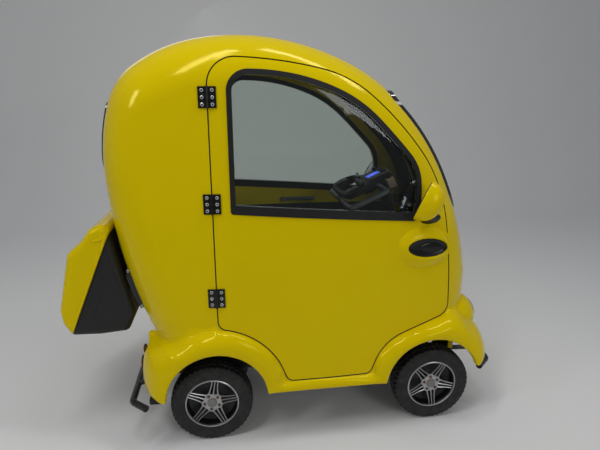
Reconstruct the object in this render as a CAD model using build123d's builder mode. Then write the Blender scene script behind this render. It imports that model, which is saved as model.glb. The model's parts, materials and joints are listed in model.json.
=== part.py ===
from build123d import *
import os
from math import atan2, cos, degrees, radians, sin, sqrt

# Enclosed four-wheel mobility scooter, in millimetres.
# +X is forward, +Y is the driver's left and +Z is up; the floor it stands on is z = 0.
# Side-view sizes are measured from the middle of the wheelbase, which lies MID_X ahead of
# the middle of the overall length.

# Overall layout
WHEELBASE = 957.0
TRACK = 580.0
MID_X = 133.5
FRONT_X = WHEELBASE / 2
REAR_X = -WHEELBASE / 2
WHEEL_Y = TRACK / 2

# Clearances
FIT = 0.3
SKIN_GAP = 0.4

# Cab body
WALL = 24.0
CAB_BOTTOM = 236.0
CAB_HALF_WIDTH = 350.0
CAB_WIDTH_HEIGHT = 600.0
CAB_LEAN = 0.05
CAB_PLAN_RADIUS = 4200.0
CAB_PLAN_X = -60.0
CAB_EDGE_RADIUS = 190.0
CAB_TAIL_HEADING = 113.5
CAB_TAIL_FOOT = (-640, 100)
CAB_NOSE_FOOT = (650, 100)

# Cab profile from the tail over the roof to the nose, as tangent arcs: x, z
CAB_PROFILE = [
    (-710, 450),
    (-861, 1116),
    (-824, 1383),
    (-712, 1529),
    (-483, 1619),
    (-171, 1622),
    (131, 1526),
    (323, 1391),
    (529, 1107),
    (665, 650),
]

# Door and its aperture
DOOR_GAP = 5.0
JAMB_GAP = 6.0
JAMB_THICK = 8.0
JAMB_LAP_IN = 14.0
JAMB_LAP_OUT = 26.0
DOOR_REAR_X = -440.0
DOOR_REAR_TOP = 1440.0
SILL_TOP = 270.0
# Upper edge of the aperture from the top of its rear edge, as tangent arcs: x, z
DOOR_TOP = [(-331, 1545), (-17, 1505), (183, 1407), (392, 1194), (513, 911), (535, 615)]
# Lower edge of the aperture, from the front seam back to the rear edge: x, z, corner radius
DOOR_FOOT = [
    (538, 506, 60),
    (244, 410, 200),
    (186, SILL_TOP, 35),
    (-165, SILL_TOP, 35),
    (-239, 467, 290),
    (DOOR_REAR_X, 511, 38),
]

# Door window: outer edge of its rubber seal
WINDOW_REAR_X = -370.0
WINDOW_REAR_TOP = 1420.0
WINDOW_TOP = [
    (-290, 1500),
    (-102, 1479),
    (46, 1430),
    (203, 1324),
    (339, 1182),
    (384, 1075),
    (386, 1000),
]
WINDOW_FOOT = [(372, 916, 24), (WINDOW_REAR_X, 973, 12)]
SEAL_FACE = 20.0
SEAL_SILL_FACE = 34.0
SEAL_PROUD = 4.0
SEAL_DEPTH = 20.0
GLASS_INSET = 8.0
GLASS_THICK = 5.0

# Windscreen and rear window: half width, sill height, top height, corner radius
WINDSCREEN = (222.0, 925.0, 1440.0, 70.0)
REAR_WINDOW = (125.0, 1120.0, 1400.0, 50.0)

# Door handle and the swelling of the door skin around it
HANDLE_X = 419.0
HANDLE_Z = 804.0
HANDLE_LONG = 176.0
HANDLE_TALL = 78.0
HANDLE_THICK = 10.0
HANDLE_SEAT = 3.0
HANDLE_ROUND = 3.0
SWELL_LONG = 226.0
SWELL_TALL = 160.0
SWELL_HEIGHT = 9.0
SWELL_ROOT = 14.0

# Door hinges: butt hinges on the rear edge
HINGE_HEIGHTS = [641.0, 1013.0, 1401.0]
HINGE_TALL = 76.0
HINGE_LEAF = 33.0
HINGE_THICK = 4.0
HINGE_STANDOFF = 8.0
HINGE_BARREL_R = 6.0
HINGE_PIN_R = 2.5
HINGE_KNUCKLE = 26.0

# Door mirror
MIRROR_AT = (374.0, 1011.0, 354.7)
MIRROR_FACE = Vector(-0.804, 0.4465, 0.393)
MIRROR_UP = Vector(0.44, 0.0, 0.9)
MIRROR_RADIUS = 79.0
MIRROR_HALF_WIDE = 41.0
MIRROR_ROUND = 34.0
MIRROR_FOOT_AT = (431.0, 922.0)
MIRROR_FOOT = (84.0, 44.0, 14.0)
MIRROR_NECK_R = 13.0
MIRROR_NECK_AT = (-42.0, 38.0)

# Skirts: fenders and sill in one moulding on each side
ARCH_RADIUS = 204.0
REAR_ARCH = (-453.0, 213.0)
FRONT_ARCH = (460.0, 210.0)
SKIRT_HALF_WIDTH = 388.0
SKIRT_INNER = 200.0
SKIRT_ROUND = 24.0
SKIRT_STEP = 3.0
SKIRT_CORNER = 120.0
SKIRT_TAIL_X = -750.0
SKIRT_NOSE_X = 746.0
ARCH_LIP = 26.0
ARCH_HOLLOW = 30.0
SILL_HALF_WIDTH = 384.0
SILL_BOTTOM = 228.0
SILL_ROUND = 12.0
UNDER_CAB = (-700.0, 655.0)
# Outer outline of the two fenders: x, z, corner radius
REAR_FENDER = [
    (-190, SILL_BOTTOM, 0),
    (-190, 511, 0),
    (-440, 511, 0),
    (-540, 497, 150),
    (-625, 450, 45),
    (-702, 487, 14),
    (-748, 380, 120),
    (-738, 236, 40),
    (-640, 236, 0),
]
FRONT_FENDER = [
    (210, SILL_BOTTOM, 0),
    (210, 512, 0),
    (585, 512, 60),
    (690, 425, 120),
    (742, 330, 60),
    (716, 280, 24),
    (400, 280, 0),
    (400, SILL_BOTTOM, 0),
]
SILL = [
    (-262, SILL_BOTTOM, 0),
    (-262, 300, 0),
    (266, 300, 0),
    (266, SILL_BOTTOM, 0),
]
VALANCE_STEP = 14.0
VALANCE_BOTTOM = 230.0

# Headlamp pods on the front fenders
POD_X = 602.0
POD_Y = 190.0
POD_Z = 440.0
POD_RADIUS = 108.0
# Lamps along X: distance from the middle, height, radius, x of the seat, x of the front
HEADLAMP = (POD_Y, 462.0, 44.0, 668.0, 712.0)
TAIL_LAMP = (234.0, 336.0, 28.0, -736.0, -752.0)
REAR_INDICATOR = (234.0, 396.0, 18.0, -728.0, -746.0)
FRONT_INDICATOR = (226.0, 330.0, 20.0, 714.0, 740.0)

# Floor pan: underside and top of the bent sheet, and the arch liners below it
FLOOR_TOP = 240.0
DECK_TOP = 450.0
SHEET = 8.0
DECK_FRONT_X = -207.0
TOE_FOOT_X = 214.0
TOE_HEAD_X = 326.0
LINER_INNER_Y = 150.0
LINER_OUTER_Y = 350.0
LINER_RADIUS = 222.0
LINER_THICK = 4.0
LINER_BOTTOM = 284.0
CAB_ARCH_ROOM = 28.0

# Chassis: two rails under the floor with cross members, all square tube
RAIL_Y = 110.0
RAIL = 30.0
RAIL_TAIL_X = -690.0
RAIL_NOSE_X = 640.0
# Cross members: x, half length
CROSS = [
    (-675.0, 146.0),
    (-230.0, 110.0),
    (30.0, 110.0),
    (230.0, 110.0),
    (551.0, 110.0),
    (625.0, 110.0),
]
BATTERY = (400.0, 270.0, 190.0)
BATTERY_X = -430.0

# Axles and steering
AXLE_TUBE_R = 25.0
AXLE_TUBE_Y = 243.0
STUB_R = 10.0
STUB_END_Y = 318.0
GEARBOX_R = 58.0
GEARBOX_LONG = 90.0
MOTOR_R = 45.0
MOTOR_X = 112.0
MOTOR_LONG = 150.0
MOTOR_NECK = 60.0
SADDLE = (44.0, 30.0)
BEAM = 36.0
BEAM_Y = 190.0
YOKE_Y = 240.0
YOKE_WEB = 8.0
YOKE_LUG = (28.0, 10.0)
YOKE_HALF = 36.0
KINGPIN_Y = 225.0
KINGPIN_R = 7.0
KNUCKLE_R = 16.0
KNUCKLE_HALF = 25.0
ARM_LONG = 80.0
ARM_WIDE = 18.0
ARM_THICK = 10.0
ARM_Z = 150.0
ROD_PIN_R = 5.0
ROD_R = 8.0
ROD_Z = 130.0
ROD_PIN_GAP = 0.8
ROD_PIN_END = 3.0

# Wheels
TYRE_RADIUS = 170.0
TYRE_WIDTH = 86.0
RIM_SEAT_R = 103.0
RIM_FLANGE_R = 111.0
RIM_WIDTH = 82.0
RIM_LIP = 4.0
RIM_WALL = 5.0
HUB_R = 32.0
HUB_IN = 26.0
SPOKE_FROM = 26.0
SPOKE_TO = 100.0
SPOKE_FACE = 31.0
SPOKE_DEPTH = 14.0
SPOKES = 5
SPOKE_BAR = 7.0
SPOKE_OFFSETS = [-12.0, 0.0, 12.0]
CAP_R = 24.0
CAP_THICK = 5.0

# Tiller
COLUMN_FOOT = (548.0, 236.0)
COLUMN_HEAD = (340.0, 980.0)
COLUMN_R = 18.0
COLUMN_SLEEVE_R = 25.0
COLUMN_SLEEVE = 70.0
COLUMN_SEAT = 10.0
NECK_R = 27.0
NECK = (-60.0, 75.0)
COLUMN_HOLE_R = 28.0
CONSOLE = (150.0, 130.0, 56.0)
CONSOLE_AT = (282.0, 1032.0)
CONSOLE_TILT = 24.0
CONSOLE_ROUND = 14.0
LOOP_AT = (205.0, 985.0)
LOOP = (170.0, 400.0)
LOOP_CORNER = 60.0
LOOP_R = 11.0

# Seat
SEAT_TOP = 598.0
SEAT_THICK = 88.0
SEAT = (430.0, 430.0)
SEAT_X = -175.0
SEAT_ROUND = 28.0
POST_R = 35.0
POST_X = -280.0
SEAT_PLATE = 8.0
SEAT_FOOT = (140.0, 200.0)
SEAT_PAN = (360.0, 360.0)
BACK_FOOT = (-392.0, 604.0)
BACK_TILT = 11.0
BACK = (430.0, 470.0, 80.0)
SEAT_TUBE_R = 11.0
SEAT_TUBE_Y = 150.0
SEAT_TUBE_BEND = 40.0
SEAT_TUBE_FRONT_X = -230.0
SEAT_TUBE_TALL = 380.0
ARM_REST_Y = 250.0
ARM_TUBE_R = 9.0
ARM_REST_UP = 180.0
ARM_REST_LONG = 330.0
ARM_PAD = (270.0, 52.0, 30.0)

# Rear box: side-view outline of the closed box, its seam and its carrier: x, z, corner radius
BOX_HALF = 200.0
BOX_WALL = 5.0
BOX_ROUND = 26.0
BOX_SEAM_GAP = 0.5
BOX_SEAM = [(-1036, 453), (-852, 880)]
BOX = [
    (-776, 536, 32),
    (-852, 880, 60),
    (-855, 916, 28),
    (-890, 918, 30),
    (-925, 900, 30),
    (-962, 850, 60),
    (-1018, 803, 40),
    (-1046, 682, 0),
    (-1074, 560, 60),
    (-1066, 503, 30),
    (-1036, 453, 28),
    (-925, 450, 60),
    (-812, 459, 28),
]
CARRIER = [(-700, 612, 0), (-797, 612, 0), (-846, 832, 0), (-790, 832, 0)]
CARRIER_HALF = 105.0
BOX_HINGE_AXIS = (-1038.4, 449.5)
BOX_HINGE_LID_FOOT = (-1042.1, 468.0)
BOX_HINGE_BASE_FOOT = (-1016.0, 454.6)
BOX_HINGE_WEB = 4.0
BOX_HINGE_R = 5.0
BOX_HINGE_Y = 130.0
BOX_HINGE_LONG = 60.0
BOX_HINGE_KNUCKLE = 24.0

# Bumpers: tube radius, and for each its x, z, half length, end length and end angle
BUMPER_R = 14.0
FRONT_BUMPER = (792.0, 210.0, 218.0, 92.0)
REAR_BUMPER = (-808.0, 172.0, 268.0, 86.0)
BUMPER_BEND = 48.0
BUMPER_BEND_R = 34.0
BUMPER_STAY_R = 11.0
# Stays: x and z at the frame, distance from the middle
FRONT_STAY = (641.0, 217.0, 110.0)
REAR_STAY = (-694.0, 213.0, 134.0)

# Side view from the right-hand side: local x forward and local y up, its normal to the right
SIDE = Plane(origin=(MID_X, 0, 0), x_dir=(1, 0, 0), z_dir=(0, -1, 0))
REACH = 500.0

os.makedirs("parts", exist_ok=True)

LOW_END = (Align.CENTER, Align.CENTER, Align.MIN)


def save(name, piece):
    """Label a finished piece and write it."""
    piece.label = name
    export_step(piece, f"parts/{name}.step")


def save_pair(name, right):
    """Write a right-hand piece and its mirror image on the left."""
    save(f"{name}_right", right)
    save(f"{name}_left", mirror(right, about=Plane.XZ))


def both_sides(right):
    """A right-hand solid together with its mirror image."""
    with BuildPart() as pair:
        add(right)
        mirror(right, about=Plane.XZ)
    return pair.part


def at(x, z, y=0.0):
    """A point by its side-view place, x from the middle of the wheelbase."""
    return (MID_X + x, y, z)


def across(x, z, y):
    """A plane facing the right-hand side, at a side-view place and a distance to the right."""
    return Plane(origin=at(x, z, -y), x_dir=(1, 0, 0), z_dir=(0, -1, 0))


def tangent_arcs(points, heading):
    """Arcs through the points, each leaving in the direction in which the last one ended."""
    tangent = Vector(cos(radians(heading)), sin(radians(heading)))
    for start, end in zip(points, points[1:]):
        arc = TangentArc(start, end, tangent=tangent)
        tangent = arc % 1


def closed_outline(corners):
    """A closed outline from a table of x, z and corner radius; radius 0 leaves a sharp corner."""
    with BuildSketch() as face:
        with BuildLine():
            Polyline(*[(x, z) for x, z, r in corners], close=True)
        make_face()
        for x, z, r in corners:
            if r:
                fillet(face.vertices().sort_by_distance((x, z, 0))[0], r)
    return face.sketch


def prism(outline, near=-REACH, far=REACH):
    """The solid that a side-view outline sweeps between two distances to the right."""
    with BuildPart() as solid:
        with BuildSketch(SIDE.offset(near)):
            add(outline)
        extrude(amount=far - near)
    return solid.part


def cab_form(inset):
    """The cab's outer form with every wall moved inward by the inset."""
    low_radius = CAB_PLAN_RADIUS + CAB_WIDTH_HEIGHT * CAB_LEAN - inset
    tall = 2000.0
    with BuildPart() as form:
        with BuildSketch(SIDE):
            with BuildLine():
                tangent_arcs(CAB_PROFILE, CAB_TAIL_HEADING)
                Polyline(CAB_PROFILE[-1], CAB_NOSE_FOOT, CAB_TAIL_FOOT, CAB_PROFILE[0])
            make_face()
            if inset:
                offset(amount=-inset, kind=Kind.INTERSECTION)
        extrude(amount=REACH, both=True)
        for side in (-1, 1):
            with Locations(at(CAB_PLAN_X, 0, side * (CAB_PLAN_RADIUS - CAB_HALF_WIDTH))):
                Cone(low_radius, low_radius - tall * CAB_LEAN, tall,
                     align=LOW_END, mode=Mode.INTERSECT)
        split(bisect_by=Plane.XY.offset(CAB_BOTTOM), keep=Keep.TOP)
        bottom = form.edges().group_by(Axis.Z)[0]
        level = form.edges().filter_by(Axis.Y)
        fillet([e for e in form.edges() if e not in bottom and e not in level],
               CAB_EDGE_RADIUS - inset)
    return form.part


def side_view(start, top, foot, grow):
    """A closed outline: up its straight rear edge, tangent arcs over the top, filleted foot."""
    rear_middle = (start[0], (start[1] + foot[-1][1]) / 2)
    with BuildSketch() as face:
        with BuildLine():
            Line(rear_middle, start)
            tangent_arcs([start] + top, 90)
            FilletPolyline(top[-1], *[(x, z) for x, z, r in foot], rear_middle,
                           radius=[r for x, z, r in foot])
        make_face()
        if grow:
            offset(amount=grow, kind=Kind.INTERSECTION)
    return face.sketch


def aperture(grow=0.0):
    """The door's aperture in the side view, grown by a distance."""
    return side_view((DOOR_REAR_X, DOOR_REAR_TOP), DOOR_TOP, DOOR_FOOT, grow)


def window(grow=0.0):
    """The outer edge of the door window's seal in the side view, grown by a distance."""
    return side_view((WINDOW_REAR_X, WINDOW_REAR_TOP), WINDOW_TOP, WINDOW_FOOT, grow)


def light(grow=0.0):
    """The clear opening inside the window seal, whose sill face is deeper than the rest."""
    (x_front, z_front, _), (x_rear, z_rear, _) = WINDOW_FOOT
    slope = (z_front - z_rear) / (x_front - x_rear)
    sill = z_rear - x_rear * slope + SEAL_SILL_FACE - grow
    with BuildSketch() as face:
        add(window(grow - SEAL_FACE))
        with BuildLine():
            Polyline((-REACH, sill - REACH * slope), (REACH, sill + REACH * slope),
                     (REACH, 0), (-REACH, 0), close=True)
        make_face(mode=Mode.SUBTRACT)
    return face.sketch


def end_window(sizes, forward, grow=0.0):
    """The prism that a front or rear window's outline sweeps along X."""
    half, low, high, corner = sizes
    middle = Plane(origin=(MID_X, 0, (low + high) / 2), x_dir=(0, 1, 0), z_dir=(1, 0, 0))
    with BuildPart() as prism:
        with BuildSketch(middle):
            RectangleRounded(2 * (half + grow), high - low + 2 * grow, corner + grow)
        extrude(amount=forward * 2 * REACH)
    return prism.part


def side_radius(z):
    """Plan radius of the cab's side at a height; the side leans in as it rises."""
    return CAB_PLAN_RADIUS + (CAB_WIDTH_HEIGHT - z) * CAB_LEAN


def side_plane(x, z, stand=0.0):
    """A plane on the right-hand side surface: local x forward, local y up, normal outward."""
    turn = (x - CAB_PLAN_X) / side_radius(z)
    straight = sqrt(1 - turn ** 2)
    half = side_radius(z) * straight - CAB_PLAN_RADIUS + CAB_HALF_WIDTH
    outward = Vector(turn, -straight, CAB_LEAN).normalized()
    return Plane(origin=Vector(*at(x, z, -half)) + outward * stand,
                 x_dir=(straight, turn, 0), z_dir=outward)


def arch_cut(radius, near, far):
    """Cylinders about the two right-hand arch centres, between two distances from the middle."""
    with BuildPart() as cutter:
        for x, z in (REAR_ARCH, FRONT_ARCH):
            with Locations(across(x, z, near)):
                Cylinder(radius, far - near, align=LOW_END)
    return cutter.part


def tube(points, bends, radius):
    """A round bar along a path of straight runs joined by tangent bends."""
    with BuildPart() as bar:
        with BuildLine() as path:
            if bends:
                FilletPolyline(*points, radius=bends)
            else:
                Line(*points)
        with BuildSketch(Plane(origin=path.line @ 0, z_dir=path.line % 0)):
            Circle(radius)
        sweep()
    return bar.part


# Cab forms, named by what their surface bounds
cab_skin = cab_form(0)
cab_lining = cab_form(WALL)
cab_clear = cab_form(-SKIN_GAP)
seal_front = cab_form(-SEAL_PROUD)
seal_back = cab_form(SEAL_DEPTH)
glass_front = cab_form(GLASS_INSET)
glass_back = cab_form(GLASS_INSET + GLASS_THICK)
jamb_front = cab_form(WALL + JAMB_GAP)
jamb_back = cab_form(WALL + JAMB_GAP + JAMB_THICK)
cab_room = cab_form(WALL + JAMB_GAP + JAMB_THICK + FIT)

# Cab shell: one moulding with two door apertures, jamb flanges behind them and end windows
with BuildPart() as jambs:
    add(cab_lining)
    add(jamb_back, mode=Mode.SUBTRACT)
    add(prism(aperture(JAMB_LAP_OUT)), mode=Mode.INTERSECT)
    add(prism(aperture(-JAMB_LAP_IN)), mode=Mode.SUBTRACT)

with BuildPart() as door_room:
    add(cab_lining)
    add(jamb_front, mode=Mode.SUBTRACT)
    add(prism(aperture()), mode=Mode.INTERSECT)

with BuildPart() as cab_shell:
    add(cab_skin)
    add(cab_lining, mode=Mode.SUBTRACT)
    add(prism(aperture()), mode=Mode.SUBTRACT)
    add(end_window(WINDSCREEN, 1), mode=Mode.SUBTRACT)
    add(end_window(REAR_WINDOW, -1), mode=Mode.SUBTRACT)
    add(jambs.part)
    add(door_room.part, mode=Mode.SUBTRACT)
    add(both_sides(arch_cut(ARCH_RADIUS + CAB_ARCH_ROOM, LINER_INNER_Y, REACH)), mode=Mode.SUBTRACT)
save("cab_shell", cab_shell.part)

# Windscreen and rear window with their seals
END_WINDOWS = [(WINDSCREEN, 1), (REAR_WINDOW, -1)]
with BuildPart() as fixed_glass:
    for sizes, forward in END_WINDOWS:
        add(end_window(sizes, forward, -SEAL_FACE - FIT))
    add(glass_front, mode=Mode.INTERSECT)
    add(glass_back, mode=Mode.SUBTRACT)
save("fixed_glass", fixed_glass.part)

with BuildPart() as fixed_seals:
    for sizes, forward in END_WINDOWS:
        add(end_window(sizes, forward, -FIT))
    for sizes, forward in END_WINDOWS:
        add(end_window(sizes, forward, -SEAL_FACE), mode=Mode.SUBTRACT)
    add(seal_front, mode=Mode.INTERSECT)
    add(seal_back, mode=Mode.SUBTRACT)
save("fixed_seals", fixed_seals.part)

# Doors: panel with the swelling around its handle, seal, glass and handle
handle_plane = side_plane(HANDLE_X, HANDLE_Z)
swell_radius = (SWELL_TALL ** 2 / 4 + SWELL_HEIGHT ** 2) / (2 * SWELL_HEIGHT)
swell_straight = SWELL_LONG - SWELL_TALL
dome_middle = handle_plane.offset(SWELL_HEIGHT - swell_radius).location
with BuildPart() as dome:
    for end in (-1, 1):
        with Locations(dome_middle * Location((end * swell_straight / 2, 0, 0))):
            Sphere(swell_radius)
    with Locations(dome_middle * Location((0, 0, 0), (0, 90, 0))):
        Cylinder(swell_radius, swell_straight)

with BuildPart() as swelling:
    with BuildSketch(handle_plane.offset(-SWELL_ROOT)):
        SlotOverall(SWELL_LONG, SWELL_TALL)
    extrude(amount=SWELL_ROOT + SWELL_HEIGHT)
    add(dome.part, mode=Mode.INTERSECT)
    add(cab_lining, mode=Mode.SUBTRACT)

with BuildPart() as door_panel:
    add(cab_skin)
    add(cab_lining, mode=Mode.SUBTRACT)
    add(swelling.part)
    add(prism(aperture(-DOOR_GAP), 0), mode=Mode.INTERSECT)
    add(prism(window(), 0), mode=Mode.SUBTRACT)
    with BuildSketch(handle_plane.offset(HANDLE_SEAT)):
        Ellipse(HANDLE_LONG / 2 + FIT, HANDLE_TALL / 2 + FIT)
    extrude(amount=HANDLE_THICK, mode=Mode.SUBTRACT)
save_pair("door_panel", door_panel.part)

with BuildPart() as door_handle:
    with BuildSketch(handle_plane.offset(HANDLE_SEAT + FIT)):
        Ellipse(HANDLE_LONG / 2, HANDLE_TALL / 2)
    extrude(amount=HANDLE_THICK)
    outer_face = door_handle.faces().sort_by_distance(handle_plane.offset(HANDLE_THICK * 3).origin)[0]
    chamfer(outer_face.edges(), HANDLE_ROUND)
save_pair("door_handle", door_handle.part)

with BuildPart() as window_seal:
    add(seal_front)
    add(seal_back, mode=Mode.SUBTRACT)
    add(prism(window(-FIT), 0), mode=Mode.INTERSECT)
    add(prism(light(), 0), mode=Mode.SUBTRACT)
save_pair("window_seal", window_seal.part)

with BuildPart() as window_glass:
    add(glass_front)
    add(glass_back, mode=Mode.SUBTRACT)
    add(prism(light(-FIT), 0), mode=Mode.INTERSECT)
save_pair("window_glass", window_glass.part)

# Hinges: each leaf lies on the skin, its barrel on the axis that stands off the skin
hinge_low = side_plane(DOOR_REAR_X + DOOR_GAP / 2, HINGE_HEIGHTS[0], HINGE_STANDOFF)
hinge_high = side_plane(DOOR_REAR_X + DOOR_GAP / 2, HINGE_HEIGHTS[-1], HINGE_STANDOFF)
hinge_axis = (hinge_high.origin - hinge_low.origin).normalized()


def hinge_plane(height):
    """A plane across the hinge axis: local x forward along the skin, local y inward."""
    share = (height - HINGE_HEIGHTS[0]) / (HINGE_HEIGHTS[-1] - HINGE_HEIGHTS[0])
    origin = hinge_low.origin + (hinge_high.origin - hinge_low.origin) * share
    return Plane(origin=origin, x_dir=hinge_low.x_dir, z_dir=hinge_axis)


leaf_back = HINGE_STANDOFF - FIT
leaf_middle = leaf_back - HINGE_THICK / 2
with BuildPart() as body_hinges:
    for height in HINGE_HEIGHTS:
        plane = hinge_plane(height)
        with Locations(plane.location * Location((-HINGE_LEAF / 2 - 0.5, leaf_middle, 0))):
            Box(HINGE_LEAF - 1, HINGE_THICK, HINGE_TALL)
        with Locations(plane):
            Cylinder(HINGE_BARREL_R, HINGE_TALL)
            Cylinder(HINGE_BARREL_R + 1, HINGE_KNUCKLE + 1, mode=Mode.SUBTRACT)
            Cylinder(HINGE_PIN_R, HINGE_TALL)
save("body_hinges", both_sides(body_hinges.part))

with BuildPart() as door_hinges:
    for height in HINGE_HEIGHTS:
        plane = hinge_plane(height)
        with Locations(plane.location * Location((HINGE_LEAF / 2 + 0.5, leaf_middle, 0))):
            Box(HINGE_LEAF - 1, HINGE_THICK, HINGE_TALL)
        with Locations(plane):
            Cylinder(HINGE_BARREL_R + 1, HINGE_TALL, mode=Mode.SUBTRACT)
            Cylinder(HINGE_BARREL_R, HINGE_KNUCKLE - 1)
        with Locations(plane.location * Location((HINGE_BARREL_R * 2 / 3, leaf_middle, 0))):
            Box(HINGE_BARREL_R + 2, HINGE_THICK, HINGE_KNUCKLE - 1)
        with Locations(plane):
            Cylinder(HINGE_PIN_R + FIT, HINGE_TALL, mode=Mode.SUBTRACT)
save_pair("door_hinges", door_hinges.part)

# Door mirror: a domed housing whose flat face is towards the driver's eyes, on a necked foot
mirror_x, mirror_z, mirror_y = MIRROR_AT
mirror_plane = Plane(origin=at(mirror_x, mirror_z, -mirror_y), x_dir=MIRROR_UP,
                     z_dir=MIRROR_FACE.cross(MIRROR_UP))
foot_plane = side_plane(*MIRROR_FOOT_AT, FIT)
neck_start = foot_plane.offset(MIRROR_FOOT[2] - 2).origin
neck = mirror_plane.from_local_coords(Vector(*MIRROR_NECK_AT)) - neck_start
with BuildPart() as door_mirror:
    with BuildSketch(mirror_plane):
        with BuildLine():
            CenterArc((0, 0), MIRROR_RADIUS, 0, 180)
            Line((-MIRROR_RADIUS, 0), (MIRROR_RADIUS, 0))
        make_face()
    extrude(amount=MIRROR_HALF_WIDE, both=True)
    fillet(door_mirror.edges().filter_by(GeomType.CIRCLE), MIRROR_ROUND)
    with BuildSketch(foot_plane):
        SlotOverall(MIRROR_FOOT[0], MIRROR_FOOT[1])
    extrude(amount=MIRROR_FOOT[2])
    with Locations(Plane(origin=neck_start, z_dir=neck)):
        Cylinder(MIRROR_NECK_R, neck.length, align=LOW_END)
save_pair("door_mirror", door_mirror.part)

# Skirts: two fenders, the sill between them and the headlamp pod, in one moulding
with BuildPart() as plan_limit:
    with BuildSketch(Plane.XY):
        with Locations(at((SKIRT_TAIL_X + SKIRT_NOSE_X) / 2, 0)):
            RectangleRounded(SKIRT_NOSE_X - SKIRT_TAIL_X, 2 * SKIRT_HALF_WIDTH, SKIRT_CORNER)
    extrude(amount=2 * REACH)

with BuildPart() as under_cab:
    with Locations(at(sum(UNDER_CAB) / 2, CAB_BOTTOM + 1)):
        Box(UNDER_CAB[1] - UNDER_CAB[0], 2 * CAB_HALF_WIDTH, CAB_BOTTOM,
            align=(Align.CENTER, Align.CENTER, Align.MAX))


def skirt_block(outline, half_width, rounding):
    """A block of the right-hand skirt, clear of door and tyres, with its outer edges rounded."""
    with BuildSketch() as face:
        add(closed_outline(outline))
        add(aperture(SKIRT_STEP), mode=Mode.SUBTRACT)
        for x, z in (REAR_ARCH, FRONT_ARCH):
            with Locations((x, z)):
                Circle(ARCH_RADIUS, mode=Mode.SUBTRACT)
    with BuildPart() as block:
        add(prism(face.sketch, SKIRT_INNER, half_width))
        fillet(block.faces().sort_by(Axis.Y)[0].edges(), rounding)
        add(plan_limit.part, mode=Mode.INTERSECT)
    return block.part


def lamp(sizes, grow=0.0):
    """A round lamp along X on the right-hand side or, grown, the pocket that it sits in."""
    y, z, radius, seat, front = sizes
    heading = 1 if front > seat else -1
    with BuildPart() as solid:
        with BuildSketch(Plane(origin=at(seat - heading * grow, z, -y), x_dir=(0, 1, 0),
                               z_dir=(heading, 0, 0))):
            Circle(radius + grow)
        extrude(amount=abs(front - seat) + 2 * grow)
    return solid.part


def pod(grow=0.0):
    """The sphere of the right-hand headlamp pod."""
    with BuildPart() as ball:
        with Locations(at(POD_X, POD_Z, -POD_Y)):
            Sphere(POD_RADIUS + grow)
    return ball.part


around_cab = cab_clear.moved(Location((0, 0, -SKIN_GAP)))
around_liners = both_sides(arch_cut(LINER_RADIUS + LINER_THICK + FIT, LINER_INNER_Y - FIT, REACH))
with BuildPart() as skirt:
    add(skirt_block(REAR_FENDER, SKIRT_HALF_WIDTH, SKIRT_ROUND))
    add(skirt_block(FRONT_FENDER, SKIRT_HALF_WIDTH, SKIRT_ROUND))
    add(skirt_block(SILL, SILL_HALF_WIDTH, SILL_ROUND))
    add(pod())
    add(around_cab, mode=Mode.SUBTRACT)
    add(under_cab.part, mode=Mode.SUBTRACT)
    add(arch_cut(ARCH_RADIUS + ARCH_HOLLOW, 0, SKIRT_HALF_WIDTH - ARCH_LIP), mode=Mode.SUBTRACT)
    for sizes in (HEADLAMP, TAIL_LAMP, REAR_INDICATOR, FRONT_INDICATOR):
        add(lamp(sizes, FIT), mode=Mode.SUBTRACT)
save_pair("skirt", skirt.part)

# Valances: the low panels that join the skirts in front of and behind the cab
with BuildPart() as valances:
    for outline in (REAR_FENDER, FRONT_FENDER):
        panel = offset(closed_outline(outline), amount=-VALANCE_STEP, kind=Kind.INTERSECTION)
        add(prism(panel, SKIN_GAP - SKIRT_INNER, SKIRT_INNER - SKIN_GAP))
    add(around_cab, mode=Mode.SUBTRACT)
    add(under_cab.part, mode=Mode.SUBTRACT)
    add(both_sides(pod(SKIN_GAP)), mode=Mode.SUBTRACT)
    add(around_liners, mode=Mode.SUBTRACT)
    split(bisect_by=Plane.XY.offset(VALANCE_BOTTOM), keep=Keep.TOP)
save("valances", valances.part)

# Lamps
with BuildPart() as headlamp:
    add(lamp(HEADLAMP))
    add(pod(), mode=Mode.INTERSECT)
save("headlamp_lenses", both_sides(headlamp.part))
save("tail_lamps", both_sides(lamp(TAIL_LAMP)))

with BuildPart() as indicator_pair:
    add(lamp(REAR_INDICATOR))
    add(lamp(FRONT_INDICATOR))
save("indicators", both_sides(indicator_pair.part))

# Floor pan: one bent sheet from the rear deck over the foot well to the front deck
column_foot = Vector(*at(*COLUMN_FOOT))
column_head = Vector(*at(*COLUMN_HEAD))
column_axis = (column_head - column_foot).normalized()
column_long = (column_head - column_foot).length
column_plane = Plane(origin=column_foot, x_dir=(column_axis.Z, 0, -column_axis.X), z_dir=column_axis)
toe_step = SHEET / 2
FLOOR = [
    (CAB_PROFILE[0][0] - 10, DECK_TOP, 0),
    (DECK_FRONT_X, DECK_TOP, 0),
    (DECK_FRONT_X, FLOOR_TOP, 0),
    (TOE_FOOT_X, FLOOR_TOP, 0),
    (TOE_HEAD_X, DECK_TOP, 0),
    (CAB_PROFILE[-1][0], DECK_TOP, 0),
    (CAB_PROFILE[-1][0], DECK_TOP - SHEET, 0),
    (TOE_HEAD_X + toe_step, DECK_TOP - SHEET, 0),
    (TOE_FOOT_X + toe_step, FLOOR_TOP - SHEET, 0),
    (DECK_FRONT_X - SHEET, FLOOR_TOP - SHEET, 0),
    (DECK_FRONT_X - SHEET, DECK_TOP - SHEET, 0),
    (CAB_PROFILE[0][0] - 10, DECK_TOP - SHEET, 0),
]
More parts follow.
